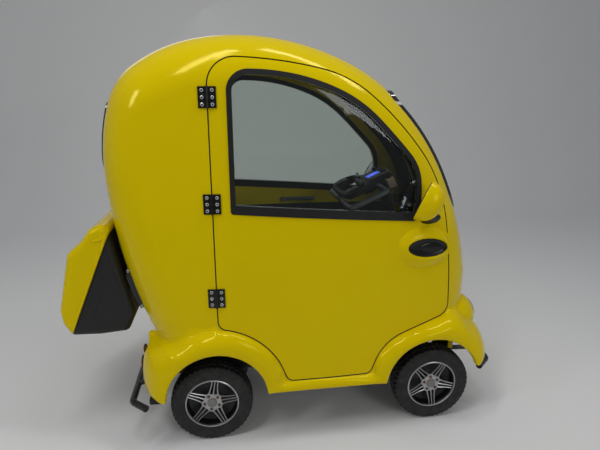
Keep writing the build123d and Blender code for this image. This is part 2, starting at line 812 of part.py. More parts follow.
with BuildPart() as floor_pan:
    add(prism(closed_outline(FLOOR)))
    add(cab_room.moved(Location((0, 0, FLOOR_TOP - SHEET - 2 - CAB_BOTTOM))), mode=Mode.INTERSECT)
    with Locations(column_plane):
        Cylinder(COLUMN_HOLE_R, 2 * REACH, mode=Mode.SUBTRACT)
    add(around_liners, mode=Mode.SUBTRACT)
save("floor_pan", floor_pan.part)

# Arch liners: a curved sheet over each wheel with a flat sheet on its inner side
with BuildPart() as liner:
    add(arch_cut(LINER_RADIUS + LINER_THICK, LINER_INNER_Y, LINER_OUTER_Y))
    add(arch_cut(LINER_RADIUS, LINER_INNER_Y + LINER_THICK, LINER_OUTER_Y), mode=Mode.SUBTRACT)
    split(bisect_by=Plane.XY.offset(LINER_BOTTOM), keep=Keep.TOP)
save("arch_liners", both_sides(liner.part))

# Chassis frame with the lower bearing of the steering column
rail_z = FLOOR_TOP - SHEET - FIT - RAIL / 2
with BuildPart() as chassis_frame:
    with Locations([at((RAIL_TAIL_X + RAIL_NOSE_X) / 2, rail_z, y) for y in (-RAIL_Y, RAIL_Y)]):
        Box(RAIL_NOSE_X - RAIL_TAIL_X, RAIL, RAIL)
    for x, half_length in CROSS:
        with Locations(at(x, rail_z)):
            Box(RAIL, 2 * half_length, RAIL)
    with Locations(column_plane.offset(-COLUMN_SEAT)):
        Cylinder(COLUMN_SLEEVE_R, COLUMN_SLEEVE, align=LOW_END)
    with Locations(column_plane.offset(-FIT)):
        Cylinder(COLUMN_R + FIT, COLUMN_SLEEVE, align=LOW_END, mode=Mode.SUBTRACT)
save("chassis_frame", chassis_frame.part)

with BuildPart() as battery_pack:
    with Locations(at(BATTERY_X, FLOOR_TOP - SHEET)):
        Box(*BATTERY, align=LOW_END)
save("battery_pack", battery_pack.part)

# Axles, each with saddles under the rails
saddle_tall = rail_z - RAIL / 2 - FIT - TYRE_RADIUS
with BuildPart() as rear_axle:
    with Locations(across(REAR_X, TYRE_RADIUS, 0)):
        Cylinder(AXLE_TUBE_R, 2 * AXLE_TUBE_Y)
        Cylinder(STUB_R, 2 * STUB_END_Y)
        Cylinder(GEARBOX_R, GEARBOX_LONG)
    with Locations(across(REAR_X + MOTOR_X, TYRE_RADIUS, 0)):
        Cylinder(MOTOR_R, MOTOR_LONG)
    with Locations(at(REAR_X + MOTOR_X / 2, TYRE_RADIUS)):
        Box(MOTOR_X, MOTOR_NECK, MOTOR_NECK)
    with Locations([at(REAR_X, TYRE_RADIUS, y) for y in (-RAIL_Y, RAIL_Y)]):
        Box(*SADDLE, saddle_tall, align=LOW_END)
save("rear_axle", rear_axle.part)

with BuildPart() as front_axle:
    with Locations(at(FRONT_X, TYRE_RADIUS)):
        Box(BEAM, 2 * BEAM_Y, BEAM)
    with Locations([at(FRONT_X, TYRE_RADIUS, y) for y in (-RAIL_Y, RAIL_Y)]):
        Box(*SADDLE, saddle_tall, align=LOW_END)
    for side in (-1, 1):
        with Locations(at(FRONT_X, TYRE_RADIUS, side * (BEAM_Y + YOKE_WEB / 2))):
            Box(BEAM, YOKE_WEB, 2 * YOKE_HALF)
        for end in (-1, 1):
            with Locations(at(FRONT_X, TYRE_RADIUS + end * (YOKE_HALF - YOKE_LUG[1] / 2),
                              side * (BEAM_Y + YOKE_Y) / 2)):
                Box(YOKE_LUG[0], YOKE_Y - BEAM_Y, YOKE_LUG[1])
        with Locations(at(FRONT_X, TYRE_RADIUS, side * KINGPIN_Y)):
            Cylinder(KINGPIN_R, 2 * YOKE_HALF)
save("front_axle", front_axle.part)

# Steering knuckles with stub and arm, and the tie rod between the arms
with BuildPart() as knuckle:
    with Locations(at(FRONT_X, TYRE_RADIUS, -KINGPIN_Y)):
        Cylinder(KNUCKLE_R, 2 * KNUCKLE_HALF)
    with Locations(across(FRONT_X, TYRE_RADIUS, KINGPIN_Y)):
        Cylinder(STUB_R, STUB_END_Y - KINGPIN_Y, align=LOW_END)
    with Locations(at(FRONT_X - ARM_LONG / 2, ARM_Z, -KINGPIN_Y)):
        Box(ARM_LONG, ARM_WIDE, ARM_THICK, align=LOW_END)
    with Locations(at(FRONT_X - ARM_LONG, ARM_Z, -KINGPIN_Y)):
        Cylinder(ARM_WIDE / 2, ARM_THICK, align=LOW_END)
        Cylinder(ROD_PIN_R + ROD_PIN_GAP, ARM_THICK, align=LOW_END, mode=Mode.SUBTRACT)
    with Locations(at(FRONT_X, TYRE_RADIUS, -KINGPIN_Y)):
        Cylinder(KINGPIN_R + FIT, 2 * KNUCKLE_HALF, mode=Mode.SUBTRACT)
save_pair("knuckle", knuckle.part)

with BuildPart() as tie_rod:
    with Locations(across(FRONT_X - ARM_LONG, ROD_Z, 0)):
        Cylinder(ROD_R, 2 * (KINGPIN_Y + ROD_R))
    with Locations([at(FRONT_X - ARM_LONG, ROD_Z, y) for y in (-KINGPIN_Y, KINGPIN_Y)]):
        Cylinder(ROD_PIN_R, ARM_Z + ARM_THICK + ROD_PIN_END - ROD_Z, align=LOW_END)
save("tie_rod", tie_rod.part)

# Wheels: cast rim with five groups of spokes, and the tyre on its seat
# Half of each section from the middle outward: radius, distance from the middle plane
RIM_SECTION = [
    (RIM_SEAT_R, 0),
    (RIM_SEAT_R, RIM_WIDTH / 2 - RIM_LIP),
    (RIM_FLANGE_R, RIM_WIDTH / 2 - RIM_LIP),
    (RIM_FLANGE_R, RIM_WIDTH / 2),
    (RIM_SEAT_R - RIM_WALL, RIM_WIDTH / 2),
    (RIM_SEAT_R - RIM_WALL, 0),
]
TYRE_BEAD = [
    (RIM_SEAT_R + FIT, 0),
    (RIM_SEAT_R + FIT, RIM_WIDTH / 2 - RIM_LIP - FIT),
    (RIM_FLANGE_R + FIT, RIM_WIDTH / 2 - RIM_LIP - FIT),
    (RIM_FLANGE_R + FIT, 0.44 * TYRE_WIDTH),
]
TYRE_SIDE = [
    (135.0, TYRE_WIDTH / 2),
    (157.0, 0.47 * TYRE_WIDTH),
    (166.5, 0.35 * TYRE_WIDTH),
    (169.2, 0.2 * TYRE_WIDTH),
    (TYRE_RADIUS, 0),
]


def wheel_section(x):
    """The plane of a right-hand wheel's section: local x radial, local y outward."""
    return Plane(origin=at(x, TYRE_RADIUS, -WHEEL_Y), x_dir=(0, 0, 1), z_dir=(1, 0, 0))


def rim(x):
    """A wheel: barrel with its flanges, hub, cap and groups of three spoke bars."""
    section = wheel_section(x)
    middle = across(x, TYRE_RADIUS, WHEEL_Y)
    spoke_middle = ((SPOKE_FROM + SPOKE_TO) / 2, SPOKE_FACE - SPOKE_DEPTH / 2)
    with BuildPart() as wheel:
        with BuildSketch(section):
            with BuildLine() as half:
                Polyline(*RIM_SECTION)
                mirror(half.line, about=Plane.XZ)
            make_face()
        revolve(axis=Axis(section.origin, section.y_dir))
        with Locations(middle.offset(-HUB_IN)):
            Cylinder(HUB_R, HUB_IN + SPOKE_FACE, align=LOW_END)
        for turn in range(SPOKES):
            for shift in SPOKE_OFFSETS:
                with Locations(middle.location * Location((0, 0, 0), (0, 0, 90 + turn * 360 / SPOKES))
                               * Location((spoke_middle[0], shift, spoke_middle[1]))):
                    Box(SPOKE_TO - SPOKE_FROM, SPOKE_BAR, SPOKE_DEPTH)
        with Locations(middle.offset(SPOKE_FACE)):
            Cylinder(CAP_R, CAP_THICK, align=LOW_END)
        with Locations(middle.offset(-HUB_IN)):
            Cylinder(STUB_R + FIT, HUB_IN + STUB_END_Y - WHEEL_Y + FIT, align=LOW_END,
                     mode=Mode.SUBTRACT)
    return wheel.part


def tyre(x):
    """A solid tyre with its bead seated on the rim."""
    section = wheel_section(x)
    with BuildPart() as ring:
        with BuildSketch(section):
            with BuildLine() as half:
                Polyline(*TYRE_BEAD)
                Spline(TYRE_BEAD[-1], *TYRE_SIDE, tangents=[(1, 0.3), (0, -1)])
                mirror(half.line, about=Plane.XZ)
            make_face()
        revolve(axis=Axis(section.origin, section.y_dir))
    return ring.part


for place, x in (("front", FRONT_X), ("rear", REAR_X)):
    save_pair(f"rim_{place}", rim(x))
    save_pair(f"tyre_{place}", tyre(x))

# Tiller: column, console and loop handle
with BuildPart() as steering_column:
    with Locations(column_plane):
        Cylinder(COLUMN_R, column_long, align=LOW_END)
save("steering_column", steering_column.part)


def tilted(place, angle):
    """A plane at a side-view place whose local x rises forward by the angle."""
    return Plane(origin=at(*place), x_dir=(cos(radians(angle)), 0, sin(radians(angle))),
                 z_dir=(-sin(radians(angle)), 0, cos(radians(angle))))


loop_plane = tilted(LOOP_AT, CONSOLE_TILT)
LOOP_CORNERS = [
    (LOOP[0] / 2, -LOOP_R / 2),
    (LOOP[0] / 2, -LOOP[1] / 2),
    (-LOOP[0] / 2, -LOOP[1] / 2),
    (-LOOP[0] / 2, LOOP[1] / 2),
    (LOOP[0] / 2, LOOP[1] / 2),
    (LOOP[0] / 2, LOOP_R / 2),
]
with BuildPart() as tiller_head:
    with Locations(tilted(CONSOLE_AT, CONSOLE_TILT)):
        Box(*CONSOLE)
    fillet(tiller_head.edges(), CONSOLE_ROUND)
    add(tube([loop_plane.from_local_coords((x, y, 0)) for x, y in LOOP_CORNERS], LOOP_CORNER, LOOP_R))
    with Locations(column_plane.offset(column_long + NECK[0])):
        Cylinder(NECK_R, NECK[1] - NECK[0], align=LOW_END)
    with Locations(column_plane):
        Cylinder(COLUMN_R + FIT, column_long + FIT, align=LOW_END, mode=Mode.SUBTRACT)
save("tiller_head", tiller_head.part)

# Seat: base with its post, cushion, backrest and the tube frame with the armrests
cushion_bottom = SEAT_TOP - SEAT_THICK
with BuildPart() as seat_base:
    with Locations(at(POST_X, DECK_TOP + FIT)):
        Box(*SEAT_FOOT, SEAT_PLATE, align=LOW_END)
        Cylinder(POST_R, cushion_bottom - DECK_TOP - 2 * FIT, align=LOW_END)
    with Locations(at(SEAT_X, cushion_bottom - FIT)):
        Box(*SEAT_PAN, SEAT_PLATE, align=(Align.CENTER, Align.CENTER, Align.MAX))
save("seat_base", seat_base.part)

with BuildPart() as seat_cushion:
    with Locations(at(SEAT_X, cushion_bottom)):
        Box(*SEAT, SEAT_THICK, align=LOW_END)
    fillet(seat_cushion.edges().filter_by(Axis.Z), 2 * SEAT_ROUND)
    fillet(seat_cushion.faces().sort_by(Axis.Z)[-1].edges(), SEAT_ROUND)
save("seat_cushion", seat_cushion.part)

back_plane = Plane(tilted(BACK_FOOT, BACK_TILT).location * Location((0, 0, BACK[1] / 2)))
with BuildPart() as seat_backrest:
    with Locations(back_plane):
        Box(BACK[2], BACK[0], BACK[1], align=(Align.MAX, Align.CENTER, Align.CENTER))
    fillet(seat_backrest.edges(), SEAT_ROUND)
save("seat_backrest", seat_backrest.part)


def behind_back(height):
    """A point of the seat tube's middle line on the back of the backrest."""
    across_back = BACK[2] + FIT + SEAT_TUBE_R
    turn = radians(BACK_TILT)
    return (BACK_FOOT[0] - height * sin(turn) - across_back * cos(turn),
            BACK_FOOT[1] + height * cos(turn) - across_back * sin(turn))


tube_z = cushion_bottom - 2 * FIT - SEAT_PLATE - SEAT_TUBE_R
low_x, low_z = behind_back(0)
bend_x = low_x + (low_z - tube_z) * sin(radians(BACK_TILT)) / cos(radians(BACK_TILT))
top_x, top_z = behind_back(SEAT_TUBE_TALL)
arm_z = SEAT_TOP + ARM_REST_UP
arm_x = low_x - (arm_z - low_z) * sin(radians(BACK_TILT)) / cos(radians(BACK_TILT))
right_run = [
    at(SEAT_TUBE_FRONT_X, tube_z, -SEAT_TUBE_Y),
    at(bend_x, tube_z, -SEAT_TUBE_Y),
    at(top_x, top_z, -SEAT_TUBE_Y),
]
left_run = [(x, -y, z) for x, y, z in reversed(right_run)]
with BuildPart() as seat_frame:
    add(tube(right_run + left_run, SEAT_TUBE_BEND, SEAT_TUBE_R))
    for side in (-1, 1):
        add(tube([at(arm_x, arm_z, side * SEAT_TUBE_Y), at(arm_x, arm_z, side * ARM_REST_Y),
                  at(arm_x + ARM_REST_LONG, arm_z, side * ARM_REST_Y)], SEAT_TUBE_BEND, ARM_TUBE_R))
        with Locations(at(arm_x + ARM_REST_LONG - ARM_PAD[0] / 2, arm_z, side * ARM_REST_Y)):
            Box(*ARM_PAD, align=LOW_END)
save("seat_frame", seat_frame.part)


# Rear box: black base on its carrier and a lid that turns down about hinges at the bottom
def box_form(inset):
    """The closed box's form with every wall moved inward by the inset."""
    half = BOX_HALF - inset
    outline = offset(closed_outline(BOX), amount=-inset) if inset else closed_outline(BOX)
    with BuildPart() as form:
        add(prism(outline, -half, half))
        fillet(form.faces().filter_by(Axis.Y).edges(), BOX_ROUND - inset)
    return form.part


def web(start, end, wide, near, far):
    """A flat bar between two side-view points, between two distances to the right."""
    middle = ((start[0] + end[0]) / 2, (start[1] + end[1]) / 2)
    run = (end[0] - start[0], end[1] - start[1])
    with BuildPart() as bar:
        with BuildSketch(SIDE.offset(near)):
            with Locations(middle):
                SlotCenterToCenter(sqrt(run[0] ** 2 + run[1] ** 2), wide,
                                   rotation=degrees(atan2(run[1], run[0])))
        extrude(amount=far - near)
    return bar.part


(seam_x, seam_z), (seam_top_x, seam_top_z) = BOX_SEAM
seam_along = Vector(seam_top_x - seam_x, 0, seam_top_z - seam_z).normalized()
seam_ahead = Plane(origin=at(seam_x, seam_z), x_dir=(0, 1, 0),
                   z_dir=(seam_along.Z, 0, -seam_along.X))
knuckle_near = BOX_HINGE_Y - BOX_HINGE_KNUCKLE / 2
knuckle_far = BOX_HINGE_Y + BOX_HINGE_KNUCKLE / 2
hinge_near = BOX_HINGE_Y - BOX_HINGE_LONG / 2
hinge_far = BOX_HINGE_Y + BOX_HINGE_LONG / 2
with BuildPart() as base_hinge:
    with Locations(across(*BOX_HINGE_AXIS, BOX_HINGE_Y)):
        Cylinder(BOX_HINGE_R, BOX_HINGE_LONG)
        Cylinder(BOX_HINGE_R + 1, BOX_HINGE_KNUCKLE + 1, mode=Mode.SUBTRACT)
        Cylinder(HINGE_PIN_R, BOX_HINGE_LONG)
    add(web(BOX_HINGE_AXIS, BOX_HINGE_BASE_FOOT, BOX_HINGE_WEB, hinge_near, knuckle_near - 0.5))
    add(web(BOX_HINGE_AXIS, BOX_HINGE_BASE_FOOT, BOX_HINGE_WEB, knuckle_far + 0.5, hinge_far))

with BuildPart() as lid_hinge:
    add(web(BOX_HINGE_AXIS, BOX_HINGE_LID_FOOT, BOX_HINGE_WEB, knuckle_near, knuckle_far))
    with Locations(across(*BOX_HINGE_AXIS, BOX_HINGE_Y)):
        Cylinder(BOX_HINGE_R, BOX_HINGE_KNUCKLE)
        Cylinder(HINGE_PIN_R + FIT, BOX_HINGE_KNUCKLE, mode=Mode.SUBTRACT)

box_outside = box_form(0)
box_inside = box_form(BOX_WALL)
with BuildPart() as box_base:
    add(box_outside)
    add(prism(closed_outline(CARRIER), -CARRIER_HALF, CARRIER_HALF))
    add(box_inside, mode=Mode.SUBTRACT)
    add(around_cab, mode=Mode.SUBTRACT)
    split(bisect_by=seam_ahead.offset(BOX_SEAM_GAP / 2), keep=Keep.TOP)
    add(both_sides(base_hinge.part))
save("box_base", box_base.part)

with BuildPart() as box_lid:
    add(box_outside)
    add(box_inside, mode=Mode.SUBTRACT)
    split(bisect_by=seam_ahead.offset(-BOX_SEAM_GAP / 2), keep=Keep.BOTTOM)
    add(both_sides(lid_hinge.part))
save("box_lid", box_lid.part)


# Bumpers: a tube across the vehicle, its ends bent back, on two stays from the frame
def bumper(sizes, stay, heading):
    """A transverse bar whose ends bend along the scooter, on two stays."""
    x, z, half, end = sizes
    stay_x, stay_z, stay_y = stay
    turn = radians(BUMPER_BEND)
    end_x = x - heading * end * sin(turn)
    end_y = half + end * cos(turn)
    with BuildPart() as bar:
        add(tube([at(end_x, z, -end_y), at(x, z, -half), at(x, z, half), at(end_x, z, end_y)],
                 BUMPER_BEND_R, BUMPER_R))
        for side in (-1, 1):
            add(tube([at(stay_x, stay_z, side * stay_y), at(x, z, side * stay_y)], 0, BUMPER_STAY_R))
    return bar.part


save("front_bumper", bumper(FRONT_BUMPER, FRONT_STAY, 1))
save("rear_bumper", bumper(REAR_BUMPER, REAR_STAY, -1))
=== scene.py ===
import json
from math import atan2, cos, pi, radians, sin

import bmesh
import bpy
from mathutils import Matrix, Vector
from mathutils.bvhtree import BVHTree

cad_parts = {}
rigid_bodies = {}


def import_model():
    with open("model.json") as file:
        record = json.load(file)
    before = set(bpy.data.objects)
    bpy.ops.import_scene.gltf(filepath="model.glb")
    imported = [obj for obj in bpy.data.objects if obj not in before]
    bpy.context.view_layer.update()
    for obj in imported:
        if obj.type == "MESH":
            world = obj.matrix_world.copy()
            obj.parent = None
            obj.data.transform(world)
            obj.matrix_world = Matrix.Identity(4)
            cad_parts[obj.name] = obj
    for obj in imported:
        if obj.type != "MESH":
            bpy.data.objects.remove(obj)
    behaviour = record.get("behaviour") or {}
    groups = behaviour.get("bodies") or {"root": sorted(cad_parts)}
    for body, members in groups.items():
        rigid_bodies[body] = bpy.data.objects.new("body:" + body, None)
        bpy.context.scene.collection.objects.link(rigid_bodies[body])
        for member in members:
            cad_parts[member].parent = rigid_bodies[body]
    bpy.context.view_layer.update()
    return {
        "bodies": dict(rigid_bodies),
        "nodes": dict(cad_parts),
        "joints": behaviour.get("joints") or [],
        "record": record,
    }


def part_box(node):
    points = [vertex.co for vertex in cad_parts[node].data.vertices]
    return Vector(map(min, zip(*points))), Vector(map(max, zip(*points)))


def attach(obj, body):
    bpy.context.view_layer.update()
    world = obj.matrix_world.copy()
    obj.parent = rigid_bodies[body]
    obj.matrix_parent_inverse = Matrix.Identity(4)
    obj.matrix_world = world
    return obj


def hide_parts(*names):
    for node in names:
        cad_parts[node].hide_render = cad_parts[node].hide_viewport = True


# Enclosed four-wheel mobility scooter in metres: +X forward, +Y to the driver's left, +Z up.
# Side-view tables are x, z from the middle of the wheelbase, as in the CAD model.

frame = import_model()
nodes = frame["nodes"]
wheel_front = (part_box("rim_front_right")[0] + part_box("rim_front_right")[1]) / 2
wheel_rear = (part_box("rim_rear_right")[0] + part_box("rim_rear_right")[1]) / 2
MID_X = (wheel_front.x + wheel_rear.x) / 2
SIDES = {"right": -1, "left": 1}

# Materials
class Shader:
    """A node material in the making: its tree, its Principled shader and its coordinates."""

    def __init__(self, name):
        self.material = bpy.data.materials.new(name)
        self.material.use_nodes = True
        self.tree = self.material.node_tree
        self.principled = self.tree.nodes["Principled BSDF"]
        self.place = self.node("ShaderNodeTexCoord").outputs["Object"]

    def node(self, kind, settings=None, **inputs):
        """Adds a node; an input may be a value or another node's socket."""
        made = self.tree.nodes.new(kind)
        for key, value in (settings or {}).items():
            setattr(made, key, value)
        for key, value in inputs.items():
            self.feed(made.inputs[key.replace("_", " ")], value)
        return made

    def feed(self, socket, value):
        if isinstance(value, bpy.types.NodeSocket):
            self.tree.links.new(value, socket)
        else:
            socket.default_value = value

    def set(self, **inputs):
        for key, value in inputs.items():
            self.feed(self.principled.inputs[key.replace("_", " ")], value)
        return self

    def noise(self, scale, detail=3.0, roughness=0.5):
        return self.node("ShaderNodeTexNoise", Vector=self.place, Scale=scale,
                         Detail=detail, Roughness=roughness).outputs["Fac"]

    def ramp(self, value, low, high, start=0.0, end=1.0):
        """Maps a value's range to another range."""
        return self.node("ShaderNodeMapRange", Value=value, From_Min=start, From_Max=end,
                         To_Min=low, To_Max=high).outputs["Result"]

    def mix(self, factor, first, second):
        made = self.node("ShaderNodeMix", {"data_type": "RGBA"})
        self.feed(made.inputs[0], factor)
        self.feed(made.inputs[6], first)
        self.feed(made.inputs[7], second)
        return made.outputs[2]

    def calculate(self, kind, operation, first, second, output=0):
        made = self.node(kind, {"operation": operation})
        self.feed(made.inputs[0], first)
        self.feed(made.inputs[1], second)
        return made.outputs[output]

    def wave(self, direction, scale):
        return self.node("ShaderNodeTexWave", {"bands_direction": direction}, Vector=self.place,
                         Scale=scale).outputs["Fac"]

    def bump(self, height, distance, strength=1.0):
        normal = self.node("ShaderNodeBump", Height=height, Distance=distance, Strength=strength)
        self.feed(self.principled.inputs["Normal"], normal.outputs["Normal"])
        return self


def color(r, g, b):
    return (r, g, b, 1.0)


YELLOW = color(0.74, 0.56, 0.0006)
YELLOW_DEEP = color(0.7, 0.53, 0.0005)
BLACK = color(0.006, 0.006, 0.006)
SOOT = color(0.012, 0.012, 0.012)


def paint(name):
    """Glossy yellow moulding with a faint ripple in its gel coat."""
    made = Shader(name)
    tone = made.mix(made.noise(3.0), YELLOW, YELLOW_DEEP)
    made.set(Base_Color=tone, Roughness=made.ramp(made.noise(40.0), 0.1, 0.15), Specular_IOR_Level=0.35,
             Specular_Tint=color(1.0, 0.84, 0.16))
    return made.bump(made.noise(9.0, 1.0), 0.0006, 0.35)


def glass_border(name):
    """Black border printed on a windscreen, under its polished surface."""
    made = Shader(name)
    made.set(Base_Color=made.mix(made.noise(30.0), BLACK, SOOT), Coat_Weight=1.0, Coat_Roughness=0.02,
             Coat_IOR=1.7, Roughness=made.ramp(made.noise(60.0), 0.03, 0.08))
    return made


def rubber(name):
    made = Shader(name)
    grain = made.noise(900.0, 2.0)
    made.set(Base_Color=made.mix(made.noise(20.0), BLACK, SOOT), Roughness=0.55, Specular_IOR_Level=0.3)
    return made.bump(grain, 0.0002, 0.4)


def plastic(name, tone=SOOT, rough=0.42, grain_scale=700.0):
    made = Shader(name)
    cells = made.node("ShaderNodeTexVoronoi", Vector=made.place, Scale=grain_scale).outputs["Distance"]
    made.set(Base_Color=tone, Roughness=made.ramp(made.noise(30.0), rough - 0.06, rough + 0.06),
             Specular_IOR_Level=0.35)
    return made.bump(cells, 0.0002, 0.5)


def coated_steel(name, grain=420.0, height=0.0008):
    """Black powder coat with a coarse, glinting texture."""
    made = Shader(name)
    made.set(Base_Color=made.mix(made.noise(60.0), BLACK, SOOT), Roughness=0.22)
    return made.bump(made.noise(grain, 2.0, 0.7), height, 0.6)


def metal(name, tone, rough):
    made = Shader(name)
    made.set(Base_Color=tone, Metallic=1.0, Roughness=made.ramp(made.noise(90.0), rough - 0.06, rough + 0.08))
    return made


def clear(name, tone):
    """Tinted clear sheet: light passes straight through, and its surface mirrors at a slant."""
    made = Shader(name)
    through = made.node("ShaderNodeBsdfTransparent", Color=tone)
    sheen = made.node("ShaderNodeBsdfGlossy", Color=color(0.9, 0.92, 0.93),
                      Roughness=made.ramp(made.noise(25.0), 0.02, 0.07))
    slant = made.node("ShaderNodeFresnel", IOR=1.35)
    dust = made.ramp(made.noise(180.0, 5.0, 0.7), 0.0, 0.12, 0.62, 0.8)
    share = made.calculate("ShaderNodeMath", "MAXIMUM", slant.outputs["Fac"], dust)
    blend = made.node("ShaderNodeMixShader", Fac=share)
    made.feed(blend.inputs[1], through.outputs[0])
    made.feed(blend.inputs[2], sheen.outputs[0])
    output = made.tree.nodes["Material Output"]
    made.tree.nodes.remove(made.principled)
    made.feed(output.inputs["Surface"], blend.outputs[0])
    return made


def lens(name, tone):
    made = Shader(name)
    made.set(Base_Color=tone, Roughness=0.08, Coat_Weight=0.6, Coat_Roughness=0.03)
    return made.bump(made.wave("Y", 60.0), 0.0006, 0.3)


def fluted_glass(name):
    """Fluted glass over a bright reflector, with darker and paler rings."""
    made = Shader(name)
    tone = made.mix(made.wave("Z", 14.0), color(0.32, 0.34, 0.36), color(0.9, 0.92, 0.94))
    made.set(Base_Color=tone, Metallic=0.75, Roughness=made.ramp(made.noise(60.0), 0.08, 0.2),
             Coat_Weight=1.0, Coat_Roughness=0.02)
    return made.bump(made.wave("Y", 42.0), 0.002, 0.8)


def tyre_rubber(name):
    made = Shader(name)
    dust = made.mix(made.ramp(made.noise(35.0, 5.0), 0.0, 1.0, 0.45, 0.75), BLACK, color(0.022, 0.021, 0.019))
    made.set(Base_Color=dust, Roughness=made.ramp(made.noise(60.0), 0.55, 0.8))
    return made.bump(made.noise(500.0), 0.0003, 0.5)


def leather(name):
    made = Shader(name)
    cells = made.node("ShaderNodeTexVoronoi", {"feature": "DISTANCE_TO_EDGE"}, Vector=made.place,
                      Scale=260.0).outputs["Distance"]
    made.set(Base_Color=color(0.02, 0.02, 0.021), Roughness=made.ramp(made.noise(50.0), 0.4, 0.55))
    return made.bump(made.ramp(cells, 0.0, 1.0, 0.0, 0.12), 0.0004, 0.6)


def carpet(name):
    made = Shader(name)
    tone = made.mix(made.noise(500.0), color(0.03, 0.03, 0.032), color(0.01, 0.01, 0.01))
    made.set(Base_Color=tone, Roughness=0.95)
    return made.bump(made.noise(900.0, 4.0), 0.001, 0.8)


def lined_paint(name):
    """Paint outside, dark lining on the surfaces that face the cab's middle."""
    made = paint(name)
    normal = made.node("ShaderNodeTexCoord").outputs["Normal"]
    outward = made.calculate("ShaderNodeVectorMath", "SUBTRACT", made.place, (MID_X - 0.05, 0.0, 0.95))
    facing = made.calculate("ShaderNodeVectorMath", "DOT_PRODUCT", outward, normal, 1)
    inside = made.calculate("ShaderNodeMath", "LESS_THAN", facing, 0.0)
    tone = made.principled.inputs["Base Color"].links[0].from_socket
    rough = made.principled.inputs["Roughness"].links[0].from_socket
    made.set(Base_Color=made.mix(inside, tone, color(0.02, 0.02, 0.02)),
             Roughness=made.node("ShaderNodeMix", Factor=inside, A=rough, B=0.85).outputs[0])
    return made


body_paint = paint("body_paint").material
cab_paint = lined_paint("cab_paint").material
black_rubber = rubber("black_rubber").material
window_border = glass_border("window_border").material
black_plastic = plastic("black_plastic").material
gloss_black = plastic("gloss_black", BLACK, 0.18, 300.0).material
black_steel = coated_steel("black_steel").material
hammered_steel = coated_steel("hammered_steel", 190.0, 0.004).material
bright_steel = metal("bright_steel", color(0.6, 0.6, 0.6), 0.3).material
rim_silver = metal("rim_silver", color(0.42, 0.42, 0.43), 0.32).material
window_clear = clear("window_clear", color(0.88, 0.91, 0.89)).material
tyre_black = tyre_rubber("tyre_black").material
seat_leather = leather("seat_leather").material
floor_mat = carpet("floor_mat").material
clear_lens = lens("clear_lens", color(0.75, 0.78, 0.8)).material
lamp_glass = fluted_glass("lamp_glass").material
red_lens = lens("red_lens", color(0.45, 0.01, 0.008)).material
amber_lens = lens("amber_lens", color(0.75, 0.22, 0.01)).material

# CAD nodes by the starts of their names, beside the material that they take
NODE_MATERIALS = [
    (cab_paint, ("cab_shell",)),
    (body_paint, ("skirt_", "valances", "door_panel", "door_mirror", "box_lid")),
    (window_border, ("fixed_seals",)),
    (black_rubber, ("window_seal",)),
    (window_clear, ("fixed_glass", "window_glass")),
    (gloss_black, ("door_handle", "body_hinges", "door_hinges")),
    (black_plastic, ("box_base", "tiller_head", "arch_liners", "battery_pack")),
    (hammered_steel, ("front_bumper", "rear_bumper")),
    (black_steel, ("chassis_frame", "front_axle", "rear_axle", "knuckle_", "tie_rod", "seat_base",
                   "seat_frame", "steering_column")),
    (floor_mat, ("floor_pan",)),
    (seat_leather, ("seat_cushion", "seat_backrest")),
    (clear_lens, ("headlamp_lenses",)),
    (red_lens, ("tail_lamps",)),
    (amber_lens, ("indicators",)),
    (rim_silver, ("rim_",)),
    (tyre_black, ("tyre_",)),
]
for name, node in nodes.items():
    made = next(material for material, starts in NODE_MATERIALS if name.startswith(starts))
    node.data.materials.clear()
    node.data.materials.append(made)

# The seals of the end windows lie this far below their solids' surface, in metres
SEAL_SUNK = 0.0065
groove = nodes["fixed_seals"].modifiers.new("groove", "DISPLACE")
groove.mid_level = 0.0
groove.strength = -SEAL_SUNK

# Mesh tools
def new_object(name, mesh, material, body):
    mesh.materials.append(material)
    made = bpy.data.objects.new(name, mesh)
    bpy.context.collection.objects.link(made)
    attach(made, body)
    return made


def mesh_piece(name, bm, material, body, angle=None):
    """Turns a bmesh into a piece; an angle in degrees keeps the sharper edges sharp."""
    bmesh.ops.remove_doubles(bm, verts=bm.verts, dist=0.00002)
    bmesh.ops.recalc_face_normals(bm, faces=bm.faces)
    mesh = bpy.data.meshes.new(name)
    bm.to_mesh(mesh)
    bm.free()
    mesh.shade_smooth()
    made = new_object(name, mesh, material, body)
    if angle:
        mesh.set_sharp_from_angle(angle=radians(angle))
    return made


def modify(piece, kind, **settings):
    modifier = piece.modifiers.new(kind.lower(), kind)
    for key, value in settings.items():
        setattr(modifier, key, value)
    return piece


def subdivide(piece, levels=2):
    return modify(piece, "SUBSURF", levels=levels, render_levels=levels)


def turns(steps):
    """Angles spread evenly round a full turn."""
    return [2 * pi * i / steps for i in range(steps)]


def loft(bm, rows, around=False, closed=False):
    """Skins rows of points with quads; around joins each row's ends, closed the last row to the first."""
    grid = [[bm.verts.new(point) for point in row] for row in rows]
    count = len(grid[0])
    pairs = list(zip(grid, grid[1:]))
    if closed:
        pairs.append((grid[-1], grid[0]))
    for low, high in pairs:
        for i in range(count if around else count - 1):
            j = (i + 1) % count
            bm.faces.new((low[i], low[j], high[j], high[i]))
    return grid


def loft_piece(name, rows, material, body, angle=50, matrix=None, around=True, closed=False):
    """A piece skinned from rows of points, moved by a matrix where there is one."""
    bm = bmesh.new()
    loft(bm, rows, around, closed)
    if matrix is not None:
        bm.transform(matrix)
    return mesh_piece(name, bm, material, body, angle)


def box_at(bm, size, matrix):
    bmesh.ops.create_cube(bm, size=1.0, matrix=matrix @ Matrix.Diagonal((*size, 1.0)))


def cylinder_at(bm, radius, depth, matrix, segments=32, top=None):
    bmesh.ops.create_cone(bm, cap_ends=True, segments=segments, radius1=radius,
                          radius2=radius if top is None else top, depth=depth, matrix=matrix)


